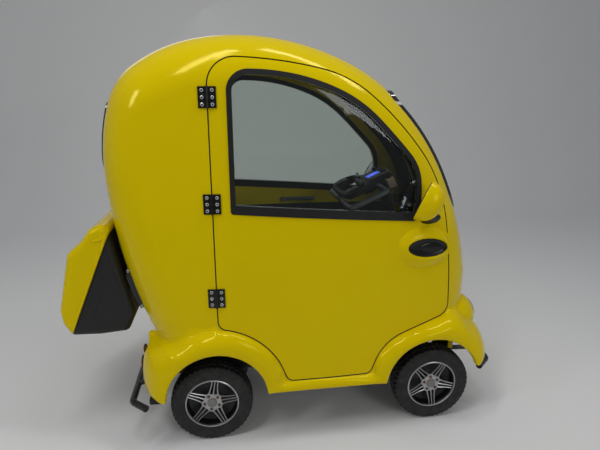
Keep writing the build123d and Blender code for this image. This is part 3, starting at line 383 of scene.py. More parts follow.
def ball_at(bm, radius, matrix, segments):
    bmesh.ops.create_uvsphere(bm, u_segments=segments, v_segments=segments // 2, radius=radius,
                              matrix=matrix)


def tube_piece(name, points, radius, material, body, closed=False, bend=True):
    """A round bar or cord along a path of points."""
    curve = bpy.data.curves.new(name, "CURVE")
    curve.dimensions = "3D"
    curve.bevel_depth = radius
    curve.bevel_resolution = 6
    curve.resolution_u = 8
    curve.use_fill_caps = True
    spline = curve.splines.new("BEZIER" if bend else "POLY")
    if bend:
        spline.bezier_points.add(len(points) - 1)
        for knot, point in zip(spline.bezier_points, points):
            knot.co = point
            knot.handle_left_type = knot.handle_right_type = "AUTO"
    else:
        spline.points.add(len(points) - 1)
        for knot, point in zip(spline.points, points):
            knot.co = (*point, 1.0)
    spline.use_cyclic_u = closed
    return new_object(name, curve, material, body)


def place(origin, out=(0, 0, 1), along=None):
    """A matrix at a point whose z axis points out and whose x axis lies along a direction."""
    z = Vector(out).normalized()
    if along is None:
        return Matrix.Translation(Vector(origin)) @ z.to_track_quat("Z", "Y").to_matrix().to_4x4()
    y = z.cross(Vector(along)).normalized()
    x = y.cross(z)
    turn = Matrix((x, y, z)).transposed().to_4x4()
    return Matrix.Translation(Vector(origin)) @ turn


def view_point(x, z, y):
    """A point from a side-view place in millimetres and a distance from the middle in millimetres."""
    return Vector((x / 1000 + MID_X, y / 1000, z / 1000))


def hull_of(*names):
    """A search tree over the surfaces of CAD nodes."""
    points, polygons = [], []
    for name in names:
        node = nodes[name]
        start = len(points)
        points += [node.matrix_world @ vertex.co for vertex in node.data.vertices]
        polygons += [[start + i for i in polygon.vertices] for polygon in node.data.polygons]
    return BVHTree.FromPolygons(points, polygons)


right_side = hull_of("cab_shell", "door_panel_right")
LEAST_HALF = 200.0


def skin(x, z):
    """Distance from the middle, in millimetres, of the cab's side at a side-view place."""
    hit = right_side.ray_cast(view_point(x, z, -600.0), Vector((0, 1, 0)))
    if hit[0] is None or hit[0].y > -LEAST_HALF / 1000:
        return LEAST_HALF
    return -hit[0].y * 1000


# Side-view lines, in millimetres
CORNER_STEPS = 8
ARC_STEPS = 10


def rounded(corners):
    """An open line of x, z and corner radius with its corners rounded."""
    points = []
    last = len(corners) - 1
    for i, (x, z, radius) in enumerate(corners):
        here = Vector((x, z))
        if not radius or i in (0, last):
            points.append(here)
            continue
        back = (Vector(corners[i - 1][:2]) - here).normalized()
        ahead = (Vector(corners[i + 1][:2]) - here).normalized()
        half = back.angle(ahead) / 2
        middle = here + (back + ahead).normalized() * radius / sin(half)
        start = here + back * radius / (sin(half) / cos(half)) - middle
        finish = here + ahead * radius / (sin(half) / cos(half)) - middle
        sweep = start.angle_signed(finish)
        for step in range(CORNER_STEPS + 1):
            turn = -sweep * step / CORNER_STEPS
            points.append(middle + Vector((start.x * cos(turn) - start.y * sin(turn),
                                           start.x * sin(turn) + start.y * cos(turn))))
    return points


def tangent_arcs(points, heading):
    """Arcs through the points, each leaving in the direction in which the last one ended."""
    line = [Vector(points[0])]
    for first, second in zip(points, points[1:]):
        start, finish = Vector(first), Vector(second)
        chord = finish - start
        turn = 2 * (atan2(chord.y, chord.x) - heading)
        turn = atan2(sin(turn), cos(turn))
        length = chord.length
        for step in range(1, ARC_STEPS + 1):
            part = turn * step / ARC_STEPS
            if abs(turn) < 1e-6:
                line.append(start + chord * step / ARC_STEPS)
                continue
            radius = length / (2 * sin(turn / 2))
            along = radius * sin(part)
            across = radius * (1 - cos(part))
            line.append(start + Vector((along * cos(heading) - across * sin(heading),
                                        along * sin(heading) + across * cos(heading))))
        heading += turn
    return line


def nearest(line, point):
    """The point of a line that is closest to a point."""
    best = None
    for start, finish in zip(line, line[1:]):
        run = finish - start
        share = min(1.0, max(0.0, (point - start).dot(run) / max(run.length_squared, 1e-9)))
        spot = start + run * share
        if best is None or (spot - point).length < (best - point).length:
            best = spot
    return best


def catmull(keys, steps):
    """Points on a smooth line through key points of any dimension."""
    keys = [tuple(key) for key in keys]
    padded = [keys[0]] + keys + [keys[-1]]
    line = []
    for a, b, c, d in zip(padded, padded[1:], padded[2:], padded[3:]):
        for step in range(steps):
            t = step / steps
            line.append(tuple(0.5 * (2 * q + (r - p) * t + (2 * p - 5 * q + 4 * r - s) * t * t
                                     + (3 * q - p - 3 * r + s) * t ** 3)
                              for p, q, r, s in zip(a, b, c, d)))
    line.append(keys[-1])
    return line


DOOR_REAR = (-440.0, 1440.0)
DOOR_TOP = [(-331, 1545), (-17, 1505), (183, 1407), (392, 1194), (513, 911), (535, 615)]
DOOR_FOOT = [(538, 506, 60), (244, 410, 200), (186, 270, 35), (-165, 270, 35), (-239, 467, 290),
             (-440, 511, 38)]
door_over = tangent_arcs([DOOR_REAR] + DOOR_TOP, pi / 2)
door_under = rounded([(*DOOR_TOP[-1], 0)] + DOOR_FOOT + [(-440, 900, 0)])
door_seam = door_over + door_under[1:]

# Fenders and sill: one plump moulding on each side
REAR_ARCH = Vector((-453.0, 213.0))
FRONT_ARCH = Vector((460.0, 210.0))
ARCH = 204.0
FENDER_HALF = 388.0
SILL_HALF = 384.0
LIP = 30.0
# Half widths at the corners of tail and nose, where the fender turns inward, and behind their edges
TURNED_FOOT = 262.0
TURNED_NEAR = 230.0
TURNED_FAR = 190.0
# Stations from the tail to the nose: foot of the fender at the cab, edge of the arch or sill,
# whether it blends into the cab (1), ends at the door's seam (0) or turns the corner (2)
STATIONS = [
    (-716, 228, -656, 228, 2),
    (-749, 243, -655, 238, 2),
    (-757, 288, -643, 285, 2),
    (-755, 340, -629, 317, 2),
    (-747, 382, -613, 340, 2),
    (-732, 412, -594, 361, 2),
    (-712, 434, -575, 378, 1.4),
    (-684, 444, -556, 390, 1),
    (-648, 446, -538, 399, 1),
    (-608, 458, -519, 406, 1),
    (-562, 483, -497, 412, 1),
    (-505, 501, -472, 416, 1),
    (-458, 509, -450, 417, 1),
    (-418, 506, -424, 415, 0),
    (-370, 495, -388, 406, 0),
    (-300, 471, -345, 386, 0),
    (-252, 431, -309, 357, 0),
    (-217, 376, -279, 320, 0),
    (-193, 322, -258, 277, 0),
    (-179, 288, -249.6, 228, 0),
    (-150, 270, -226, 228, 0),
    (-60, 270, -90, 228, 0),
    (70, 270, 100, 228, 0),
    (166, 270, 232, 228, 0),
    (198, 287, 256.8, 228, 0),
    (211, 330, 266, 276, 0),
    (240, 382, 288, 321, 0),
    (292, 424, 320, 359, 0),
    (360, 448, 359, 387, 0),
    (430, 470, 402, 406, 0),
    (492, 491, 447, 413.6, 0),
    (540, 512, 492, 411.5, 1),
    (590, 507, 536, 399, 1),
    (640, 473, 574, 379, 1),
    (682, 433, 603, 355, 2),
    (712, 392, 626, 328, 2),
    (732, 345, 642, 304, 2),
    (732, 308, 649, 288, 2),
    (712, 282, 651, 281, 2),
]
lip_line = ([REAR_ARCH + ARCH * Vector((cos(radians(a)), sin(radians(a)))) for a in range(184, 4, -3)]
            + [Vector((-249.6, 228.0)), Vector((256.8, 228.0))]
            + [FRONT_ARCH + ARCH * Vector((cos(radians(a)), sin(radians(a)))) for a in range(174, 3, -3)])


def fender_section(station):
    """One section of the right-hand fender from inside its lip, over its crown, to the cab."""
    foot_x, foot_z, edge_x, edge_z, end = station
    foot, edge = Vector((foot_x, foot_z)), nearest(lip_line, Vector((edge_x, edge_z)))
    if end < 0.5:
        foot = nearest(door_seam, foot)
    up = foot - edge
    tall = up.length
    on_sill = edge_z < 229 and abs(edge_x) < 240
    half = SILL_HALF if on_sill else FENDER_HALF
    turning = max(0.0, min(1.0, end - 1.0))
    foot_y = skin(*foot) * (1 - turning) + TURNED_FOOT * turning
    crown = 0.3 * (1 - turning) + 0.1 * turning
    points = [(0.0, half - LIP), (0.0, half - 8.0), (5.0 / tall, half - 1.5), (crown, half)]
    last = radians(90.0 if end < 0.5 else 66.0)
    for share in (0.22, 0.42, 0.6, 0.76, 0.9, 1.0):
        angle = last * share
        points.append((crown + (1 - crown) * sin(angle) / sin(last),
                       foot_y + (half - foot_y) * (cos(angle) - cos(last)) / (1 - cos(last))))
    row = [(edge + up * share, y) for share, y in points]
    row[-1] = (foot, foot_y + (0.0 if end < 0.5 else 5.0 * (1 - turning)))
    away = up.normalized()
    if end < 0.5:
        row += [(foot, foot_y - 3.0), (foot, foot_y - 9.0)]
    else:
        near, far = foot + away * 17, foot + away * 40
        for spot, lift, turned in ((near, 1.5, TURNED_NEAR), (far, -2.0, TURNED_FAR)):
            y = (skin(*spot) + lift) * (1 - turning) + turned * turning
            row.append((foot.lerp(spot, 1 - turning), y))
    return [view_point(spot.x, spot.y, -y) for spot, y in row]


fender_rows = [fender_section(station) for station in catmull(STATIONS, 2)]
for side_name, side in SIDES.items():
    rows = [[Vector((p.x, -side * p.y, p.z)) for p in row] for row in fender_rows]
    fender = loft_piece(f"fender_{side_name}", rows, body_paint, "chassis", None, around=False)
    subdivide(fender, 1)
    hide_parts(f"skirt_{side_name}")

# Wheels: sizes in millimetres as radius and distance out from the wheel's middle plane
RING = [(103, 31), (103, 37), (105, 40.4), (108, 40.8), (110.6, 39), (110.6, 34), (108, 31)]
BARREL = [(109, 38), (104.5, 36), (101, 29), (98, 4), (80, -3), (46, 2), (34, 12), (10, 13)]
TYRE_SIDE = [(107.5, 33), (110.5, 38.5), (113, 40.6), (116, 40.2), (124, 41.8), (137, 42.8), (148, 42.2),
             (155, 40.8), (159, 39.6), (163.5, 37)]
TREAD_HALF = 36.0
TREAD_DEPTH = 4.5
TREAD_STEPS = 28
TYRE_R = 170.0
CROWN_FALL = 3.4
# Points of the tyre's side that stand out at every second half lug, and how far
SHOULDER = (7, 8)
SHOULDER_RISE = 0.9
SPOKE_GROUPS = 5
# Radius, distance of the outer bars from the middle one and height along a spoke
SPOKE = [(104, 11.5, 33), (84, 12.4, 31), (62, 14.2, 28.5), (46, 17.0, 27), (34, 19.5, 26)]
# Share of the star's radius and height, from its middle outward
STAR = [(0.3, 29.5), (0.86, 28.6), (0.98, 27.4), (1.0, 24.0), (1.0, 18.0)]
STAR_R = 41.5
STAR_LOBE = 4.0
CAP = [(0.5, 35.4), (12, 35.4), (17, 34.8), (19.5, 33.0), (20.5, 30.5), (20.5, 26)]
NUT_RIM = [(5.6, 28.8), (7.2, 29.4), (8.0, 28.6)]
BARREL_INSIDE = [(105, -36), (101, -29), (98, -4), (80, -4)]
LUGS = 44
NUT_CIRCLE = 31.0
wheel_black = plastic("wheel_black", BLACK, 0.3, 500.0).material
rusty_steel = metal("rusty_steel", color(0.2, 0.11, 0.07), 0.55).material
cap_grey = plastic("cap_grey", color(0.2, 0.2, 0.19), 0.45, 900.0).material


def ring_rows(profile, steps):
    return [[Vector((r * cos(turn), r * sin(turn), w)) / 1000 for r, w in profile] for turn in turns(steps)]


def tread_height(angle, across):
    """How deep the tread is cut at a place, as a share; across runs from -1 to 1."""
    lug = angle * LUGS / (2 * pi)
    edge = abs(across)
    if 0.3 < edge < 0.4:
        return 1.0
    if edge <= 0.3:
        return 1.0 if (lug + across * 1.3) % 1.0 < 0.22 else 0.0
    return 1.0 if (lug + 0.5 * (across > 0) + edge * 0.5) % 1.0 < 0.32 else 0.0


def tyre_mesh():
    rows = []
    for angle in turns(LUGS * 8):
        line = list(TYRE_SIDE)
        for k in range(TREAD_STEPS + 1):
            across = 1 - 2 * k / TREAD_STEPS
            crown = TYRE_R - CROWN_FALL * abs(across) ** 2.6
            line.append((crown - TREAD_DEPTH * tread_height(angle, across), across * TREAD_HALF))
        line += [(r, -w) for r, w in reversed(TYRE_SIDE)]
        if (angle * LUGS / (2 * pi) + 0.75) % 1.0 < 0.5:
            for k in SHOULDER:
                line[k] = (line[k][0], line[k][1] + SHOULDER_RISE)
        rows.append([Vector((r * cos(angle), r * sin(angle), w)) / 1000 for r, w in line])
    bm = bmesh.new()
    loft(bm, rows, closed=True)
    return bm


def spoke_bar(bm, turn, side):
    """One thin bar of a spoke group, which flares towards the hub."""
    sections = []
    for x, spread, height in SPOKE:
        y = side * spread
        half = 2.2 if x > 60 else 2.8
        sections.append([(x, y - half, height - 6), (x, y - half, height), (x, y, height + 1.6),
                         (x, y + half, height), (x, y + half, height - 6)])
    spin = Matrix.Rotation(turn, 4, "Z")
    loft(bm, [[spin @ (Vector(p) / 1000) for p in section] for section in sections])


def wheel_face_mesh(start):
    """Flange ring, five groups of three bars and the star that they spring from."""
    bm = bmesh.new()
    loft(bm, ring_rows(RING, 96), around=True, closed=True)
    for group in range(SPOKE_GROUPS):
        for side in (-1, 0, 1):
            spoke_bar(bm, start + group * 2 * pi / SPOKE_GROUPS, side)
    spin = Matrix.Rotation(start, 4, "Z")
    star = []
    for share, height in STAR:
        row = []
        for angle in turns(60):
            lobe = STAR_R + STAR_LOBE * cos(SPOKE_GROUPS * (angle - pi / SPOKE_GROUPS))
            row.append(spin @ (Vector((lobe * share * cos(angle), lobe * share * sin(angle), height)) / 1000))
        star.append(row)
    loft(bm, star, around=True)
    return bm


def turned_mesh(*profiles, steps):
    """Surfaces turned about the wheel's axle, one for each profile."""
    bm = bmesh.new()
    for profile in profiles:
        loft(bm, ring_rows(profile, steps), closed=True)
    return bm


def nuts_mesh(start):
    """Five wheel nuts, each in the mouth of its countersunk hole."""
    bm = bmesh.new()
    for group in range(SPOKE_GROUPS):
        angle = start + (group + 0.5) * 2 * pi / SPOKE_GROUPS
        middle = Vector((NUT_CIRCLE * cos(angle), NUT_CIRCLE * sin(angle), 0)) / 1000
        cylinder_at(bm, 0.0052, 0.008, Matrix.Translation(middle + Vector((0, 0, 0.0285))), 6, 0.0046)
        shift = Matrix.Translation(middle)
        loft(bm, [[shift @ p for p in row] for row in ring_rows(NUT_RIM, 20)], closed=True)
    return bm


for end, start_angle in (("front", 60), ("rear", 81)):
    for side_name, side in SIDES.items():
        body = f"wheel_{end}_{side_name}"
        low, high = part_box(f"tyre_{end}_{side_name}")
        hub = (low + high) / 2
        frame_out = place(hub, (0, side, 0), (1, 0, 0))
        start = radians(start_angle) * (1 if side < 0 else -1)
        for kind, bm, material, angle in (
                ("wheel_face", wheel_face_mesh(start), rim_silver, 40),
                ("wheel_cap", turned_mesh(CAP, steps=40), cap_grey, 40),
                ("wheel_nuts", nuts_mesh(start), rusty_steel, 40),
                ("wheel_tyre", tyre_mesh(), tyre_black, 35),
                ("wheel_barrel", turned_mesh(BARREL, BARREL_INSIDE, steps=72), wheel_black, 40)):
            bm.transform(frame_out)
            made = mesh_piece(f"{kind}_{end}_{side_name}", bm, material, body, angle)
            if kind == "wheel_tyre":
                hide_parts(f"tyre_{end}_{side_name}")
            elif kind == "wheel_barrel":
                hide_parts(f"rim_{end}_{side_name}")

# Headlamp pods on the front fenders
POD = Vector((602.0, 440.0))
POD_Y = 190.0
POD_R = 107.4
# Depth in metres below the cab's skin at which a pod's surface is left out
POD_SUNK = 0.014
for side_name, side in SIDES.items():
    bm = bmesh.new()
    ball_at(bm, POD_R / 1000, Matrix.Translation(view_point(POD.x, POD.y, side * POD_Y)), 72)
    hidden = []
    for vertex in bm.verts:
        mirrored = Vector((vertex.co.x, -side * vertex.co.y if side > 0 else vertex.co.y, vertex.co.z))
        hit = right_side.ray_cast(mirrored, Vector((0.8, -0.6, 0.0)).normalized())
        if hit[0] is not None and hit[3] > POD_SUNK:
            hidden.append(vertex)
    bmesh.ops.delete(bm, geom=hidden, context="VERTS")
    mesh_piece(f"headlamp_pod_{side_name}", bm, body_paint, "chassis")

# Door seams: rubber in the gap, on the door's edge
STRIP_INSET = 2.6
STRIP_SUNK = 1.9
STRIP_R = 0.0021
STRIP_SPACING = 14.0
DOOR_MIDDLE = Vector((-20.0, 900.0))


def seam_points(line, side):
    """Points along a closed side-view line, moved towards its inside and sunk below the skin."""
    points = []
    last = None
    for spot in line:
        if last is not None and (spot - last).length < STRIP_SPACING:
            continue
        last = spot
        inward = (DOOR_MIDDLE - spot).normalized()
        inner = spot + inward * STRIP_INSET
        sample = spot - inward * 8.0
        points.append(view_point(inner.x, inner.y, side * (skin(sample.x, sample.y) - STRIP_SUNK)))
    return points


def evenly(line, spacing):
    """The same line with points at an even spacing."""
    points = [line[0]]
    for start, finish in zip(line, line[1:]):
        count = max(1, round((finish - start).length / spacing))
        points += [start.lerp(finish, k / count) for k in range(1, count + 1)]
    return points


for side_name, side in SIDES.items():
    tube_piece(f"door_weatherstrip_{side_name}", seam_points(evenly(door_seam, 20.0), side), STRIP_R,
               black_rubber, f"door_{side_name}", closed=True)

# Hinge screws: six socket heads on each hinge, in two columns
HINGE_HEIGHTS = (641.0, 1013.0, 1401.0)
HINGE_X = -437.5
SCREW_ROWS = (-25.0, 0.0, 25.0)
SCREW_COLUMN = 18.5
SCREW_HEAD = [(0.3, -1.4), (2.7, -1.4), (3.1, 1.6), (3.8, 2.3), (5.2, 2.1), (6.3, 1.2), (6.6, -0.6)]


def screw_head(bm, matrix, scale=1.0):
    loft(bm, [[matrix @ (p * scale) for p in row] for row in ring_rows(SCREW_HEAD, 20)], closed=True)


for side_name, side in SIDES.items():
    plates = hull_of("body_hinges", f"door_hinges_{side_name}")
    for body, column in (("chassis", -SCREW_COLUMN), (f"door_{side_name}", SCREW_COLUMN)):
        bm = bmesh.new()
        for height in HINGE_HEIGHTS:
            for row in SCREW_ROWS:
                start = view_point(HINGE_X + column, height + row, side * 600.0)
                hit = plates.ray_cast(start, Vector((0, -side, 0)))
                if hit[0] is not None:
                    out = hit[1] if hit[1].y * side > 0 else -hit[1]
                    screw_head(bm, place(hit[0] + out * 0.0004, out))
        mesh_piece(f"hinge_screws_{side_name}_{'cab' if body == 'chassis' else 'door'}", bm, bright_steel,
                   body, 40)

# Door handles: a glossy oval cup with its paddle, in a swelling of the skin
def skin_frame(x, z, side):
    """A frame on the door's skin: x forward, z outward."""
    points = [view_point(x + dx, z + dz, side * skin(x + dx, z + dz))
              for dx, dz in ((-60, 0), (60, 0), (0, -60), (0, 60))]
    along = (points[1] - points[0]).normalized()
    up = (points[3] - points[2]).normalized()
    out = along.cross(up)
    out = out if out.y * side > 0 else -out
    return place((points[0] + points[1]) / 2, out, along)


def oval_rings(sizes, steps=72, lean=0.0):
    """Rings of an oval from rows of half length, half height, rise and shift, in millimetres."""
    leant = Matrix.Rotation(lean, 4, "Z")
    return [[leant @ (Vector((a * cos(turn) + sum(shift), b * sin(turn), rise)) / 1000)
             for turn in turns(steps)] for a, b, rise, *shift in sizes]


def round_rings(profile, steps):
    """Rings of a circle from rows of radius and rise, in millimetres."""
    return oval_rings([(radius, radius, rise) for radius, rise in profile], steps)


HANDLE = (419.0, 804.0)
SURROUND = [(116, 96, -8, -12), (111, 88, -2, -11), (106, 77, 3.5, -8), (101, 65, 9, -5),
            (96.5, 54, 13.5, -2), (93, 46, 16, 0), (90.8, 42, 15.8, 0), (88.8, 39.4, 13.4, 0),
            (87.6, 38.2, 8, 0)]
CUP = [(87.8, 38.4, 10.4), (86, 37, 12.6), (83, 34.5, 12.8), (80, 32, 11.0), (76, 29, 8.2), (66, 24, 7.4),
       (40, 14, 7.0), (0.5, 0.3, 6.9)]
PADDLE = [(52, 21, 6.0), (51, 20.4, 10.6), (48.5, 18.4, 11.8), (40, 14, 12.4), (0.5, 0.3, 12.8)]
for side_name, side in SIDES.items():
    on_door = skin_frame(*HANDLE, side)
    lean = radians(-3.0) * -side
    for kind, sizes, material, shift in (("handle_surround", SURROUND, body_paint, 0.0),
                                         ("handle_cup", CUP, gloss_black, 0.0),
                                         ("handle_paddle", PADDLE, gloss_black, 0.014)):
        made = loft_piece(f"{kind}_{side_name}", oval_rings(sizes, lean=lean), material,
                          f"door_{side_name}", 60, on_door @ Matrix.Translation((shift, 0.0, 0.0)))
        if kind == "handle_cup":
            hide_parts(f"door_handle_{side_name}")

# Door mirrors: a domed housing whose glass faces the driver's eyes, on a black foot
MIRROR = (374.0, 1011.0, 357.0)
MIRROR_HALF_TALL = 81.0
MIRROR_HALF_WIDE = 44.0
MIRROR_DEEP = 76.0
MIRROR_UP = Vector((0.44, 0.0, 0.9)).normalized()
MIRROR_FACE = Vector((-0.804, 0.4465, 0.393)).normalized()
MIRROR_FOOT = (431.0, 922.0)
# Half length, half height and rise of the rings of its rim, bezel, glass and foot
MIRROR_RIM = [(74, 38, 0.5), (77.5, 41, 1.2), (80, 43.2, 1.0)]
MIRROR_BEZEL = [(77, 40.5, 0.0), (76.5, 40, 3.2), (74, 38, 4.4), (71, 35.5, 3.6), (70, 35, 2.4)]
MIRROR_PANE = [(71, 35.8, 2.2), (69, 34, 2.9), (0.5, 0.3, 3.6)]
MIRROR_STEM = [(50, 24, -3), (50, 24, 3), (48, 22.5, 7), (42, 20, 11), (34, 17, 18), (27, 14, 30),
               (22, 12, 44)]
DOME_RINGS = 14
DOME_POWER = 2 / 2.2
MOULD_LINE = 0.6
mirror_glass = metal("mirror_glass", color(0.8, 0.82, 0.83), 0.08).material


def dome_rings(half_long, half_wide, deep):
    """Rings of a half egg whose rim lies in the local xy plane and whose apex is at -z."""
    sizes = []
    for k in range(DOME_RINGS + 1):
        rise = k / DOME_RINGS * pi / 2
        size = max(cos(rise), 0.004) ** DOME_POWER
        sizes.append((half_long * size, half_wide * size, -deep * sin(rise) ** DOME_POWER))
    return oval_rings(sizes, 48)


for side_name, side in SIDES.items():
    face = Vector((MIRROR_FACE.x, MIRROR_FACE.y * -side, MIRROR_FACE.z))
    middle = view_point(MIRROR[0], MIRROR[1], side * MIRROR[2])
    local = place(middle, face, MIRROR_UP)
    body = f"door_{side_name}"
    rim = oval_rings(MIRROR_RIM + [(MIRROR_HALF_TALL, MIRROR_HALF_WIDE, 0.0)], 48)
    dome = dome_rings(MIRROR_HALF_TALL, MIRROR_HALF_WIDE, MIRROR_DEEP)
    housing = loft_piece(f"mirror_housing_{side_name}", rim + dome[1:], body_paint, body, matrix=local)
    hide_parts(f"door_mirror_{side_name}")
    for kind, sizes, material in (("bezel", MIRROR_BEZEL, black_plastic),
                                  ("glass", MIRROR_PANE, mirror_glass)):
        loft_piece(f"mirror_{kind}_{side_name}", oval_rings(sizes, 48), material, body, matrix=local)
    tall, deep = MIRROR_HALF_TALL + MOULD_LINE, MIRROR_DEEP + MOULD_LINE
    rim_line = [local @ (Vector((tall * cos(pi * i / 40), 0.0, -deep * sin(pi * i / 40))) / 1000)
                for i in range(41)]
    tube_piece(f"mirror_mould_line_{side_name}", rim_line, 0.0011, body_paint, body)
    foot = skin_frame(*MIRROR_FOOT, side)
    neck = foot.inverted() @ (middle + local.to_3x3() @ Vector((-0.045, 0.0, -0.03)))
    rings = oval_rings(MIRROR_STEM, 40)
    for ring, (_, _, rise) in zip(rings, MIRROR_STEM):
        share = max(0.0, (rise - 3) / 41) ** 1.3
        for point in ring:
            point += Vector((neck.x * share, neck.y * share, 0.0))
    loft_piece(f"mirror_foot_{side_name}", rings, gloss_black, body, matrix=foot)

# Slabs with rounded corners and soft edges, in millimetres of a local frame
def plate_ring(long, wide, corner, rise):
    ring = []
    for quarter, (sx, sy) in enumerate(((1, 1), (-1, 1), (-1, -1), (1, -1))):
        for step in range(CORNER_STEPS + 1):
            turn = (quarter + step / CORNER_STEPS) * pi / 2
            ring.append(Vector((sx * (long / 2 - corner) + corner * cos(turn),
                                sy * (wide / 2 - corner) + corner * sin(turn), rise)) / 1000)
    return ring


def slab(bm, size, low, high, frame, corner=6.0, soft=2.0, shift=(0.0, 0.0)):
    """A plate between two heights whose outline has round corners and whose upper edge is soft."""
    long, wide = size
    rings = [plate_ring(long, wide, corner, low)]
    for turn in (0.0, pi / 8, pi / 4, 3 * pi / 8, pi / 2):
        inset = soft * (1 - cos(turn))
        rings.append(plate_ring(long - 2 * inset, wide - 2 * inset, max(corner - inset, 0.4),
                                high - soft + soft * sin(turn)))
    rings = [[frame @ (point + Vector((*shift, 0.0)) / 1000) for point in ring] for ring in rings]
    grid = loft(bm, rings, around=True)
    bm.faces.new(grid[0])
    bm.faces.new(grid[-1])


def slab_piece(name, plates, frame, material, body):
    bm = bmesh.new()
    for size, low, high, corner, soft, shift in plates:
        slab(bm, size, low, high, frame, corner, soft, shift)
    return mesh_piece(name, bm, material, body, 35)


# Tiller: fascia with its screen, keys and dial, the grip loop with switch pods, the lever and a boot
TILLER_TILT = radians(24.0)
tiller = place(view_point(282.0, 1032.0, 0.0), (-sin(TILLER_TILT), 0.0, cos(TILLER_TILT)),
               (cos(TILLER_TILT), 0.0, sin(TILLER_TILT)))
grey_plastic = plastic("grey_plastic", color(0.16, 0.165, 0.17), 0.4, 500.0).material
cream_plastic = plastic("cream_plastic", color(0.55, 0.43, 0.3), 0.45, 500.0).material
screen_blue = Shader("screen_blue")
rows_lit = screen_blue.node("ShaderNodeTexBrick", Vector=screen_blue.place, Scale=90.0,
                            Color1=color(0.02, 0.06, 0.75), Color2=color(0.03, 0.1, 0.9),
                            Mortar=color(0.35, 0.45, 1.0), Mortar_Size=0.01)
screen_blue.set(Base_Color=rows_lit.outputs["Color"], Roughness=0.12,
                Emission_Color=rows_lit.outputs["Color"], Emission_Strength=0.9)


def on_tiller(x, y, z):
    return tiller @ (Vector((x, y, z)) / 1000)


slab_piece("tiller_fascia", [((138, 118), 26, 31.5, 16, 2.5, (0, 0))], tiller, grey_plastic, "tiller")
slab_piece("tiller_panel", [((126, 106), 29, 33, 12, 1.5, (0, 0))], tiller, black_plastic, "tiller")
slab_piece("tiller_screen_frame", [((70, 56), 31, 36, 6, 2, (-2, -27))], tiller, grey_plastic, "tiller")
slab_piece("tiller_screen", [((58, 44), 32, 36.6, 2, 0.5, (-2, -27))], tiller, screen_blue.material, "tiller")
slab_piece("tiller_keys", [((13, 10), 31, 36, 3, 1.6, (x, y)) for x in (-44, -26, -8, 10)
                           for y in (14, 28)], tiller, grey_plastic, "tiller")
bm = bmesh.new()
cylinder_at(bm, 0.014, 0.004, tiller @ Matrix.Translation((0.03, 0.045, 0.034)), 40)
cylinder_at(bm, 0.0105, 0.012, tiller @ Matrix.Translation((0.03, 0.045, 0.039)), 28, 0.0095)
box_at(bm, (0.003, 0.009, 0.001), tiller @ Matrix.Translation((0.03, 0.049, 0.0452)))
cylinder_at(bm, 0.008, 0.006, tiller @ Matrix.Translation((-0.052, 0.046, 0.035)), 32)
mesh_piece("tiller_dial", bm, black_plastic, "tiller", 35)
bm = bmesh.new()
cylinder_at(bm, 0.0055, 0.003, tiller @ Matrix.Translation((-0.052, 0.046, 0.039)), 24)
box_at(bm, (0.012, 0.0022, 0.018), tiller @ Matrix.Translation((-0.052, 0.046, 0.048)))
mesh_piece("tiller_key", bm, bright_steel, "tiller", 35)

GRIP_LOOP = [(-46, -70), (-70, -132), (-118, -150), (-150, -132), (-163, -80), (-165, 0)]
grip_line = [on_tiller(x, y, 22.0) for x, y in GRIP_LOOP + [(x, -y) for x, y in reversed(GRIP_LOOP[:-1])]]
tube_piece("tiller_grip_loop", grip_line, 0.0125, black_rubber, "tiller")
for side_name, side in SIDES.items():
    pod = tiller @ Matrix.Translation((-0.125, side * 0.104, 0.0))
    slab_piece(f"switch_pod_{side_name}", [((62, 54), 4, 38, 12, 7, (0, 0))], pod, black_plastic, "tiller")
    slab_piece(f"pod_keys_{side_name}", [((17, 12), 36, 41.5, 3, 1.8, (x, y)) for x in (-15, 12)
                                         for y in (-12, 8)], pod, grey_plastic, "tiller")
    lever = [on_tiller(x, side * y, -12.0) for x, y in ((-6, 60), (-5, 180), (-24, 200), (-90, 200.5),
                                                        (-154, 200), (-174, 182), (-174.5, 40))]
    tube_piece(f"tiller_lever_{side_name}", catmull(lever, 6), 0.0118, grey_plastic, "tiller", bend=False)
slab_piece("tiller_socket_box", [((36, 24), -42, 2, 5, 2, (50, -76))], tiller, cream_plastic, "tiller")
slab_piece("tiller_socket_lid", [((22, 16), 1, 6, 3, 1.5, (50, -76))], tiller, black_plastic, "tiller")

column_low = Vector(((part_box("steering_column")[1].x - 0.018), 0.0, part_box("steering_column")[0].z))
column_axis = (tiller.translation - column_low).normalized()
column_frame = place(column_low, column_axis)
BOOT = [(62, 222), (62, 226), (58, 236), (62, 240), (54, 252), (58, 256), (48, 270), (52, 274), (41, 290),
        (45, 294), (34, 310), (38, 314), (27, 328), (30, 332), (21, 346), (18.6, 350)]
loft_piece("column_boot", round_rings(BOOT, 40), black_rubber, "chassis", matrix=column_frame)

# Door trims: a black card over the lower half of each door, with a pocket and the latch bar above it
TRIM_TOP = 872.0
TRIM_REAR = -408.0
TRIM_FRONT = 470.0
TRIM_MARGIN = 28.0
TRIM_THICK = 4.0
TRIM_COLUMNS = 72
TRIM_ROWS = 16
# Plates as size, low, high, corner, soft edge and place
LATCH_BAR = [((178, 20), -2, 5, 9, 1.5, (0, 0)), ((26, 26), 3, 9, 12, 3, (-74, 0)),
             ((40, 12), 3, 13, 5, 3, (60, 0))]
door_inside = hull_of("door_panel_right")


def inner_skin(x, z, side, lift=0.0):
    """A point on the inner face of a door, lifted towards the middle by a distance in millimetres."""
    hit = door_inside.ray_cast(view_point(x, z, 0.0), Vector((0, -1, 0)))
    return view_point(x, z, side * (-hit[0].y * 1000 - lift))


def door_foot_height(x):
    heights = [first.y + (second.y - first.y) * (x - first.x) / (second.x - first.x)
               for first, second in zip(door_under, door_under[1:])
               if min(first.x, second.x) <= x <= max(first.x, second.x) and abs(second.x - first.x) > 0.01]
    return max(heights)


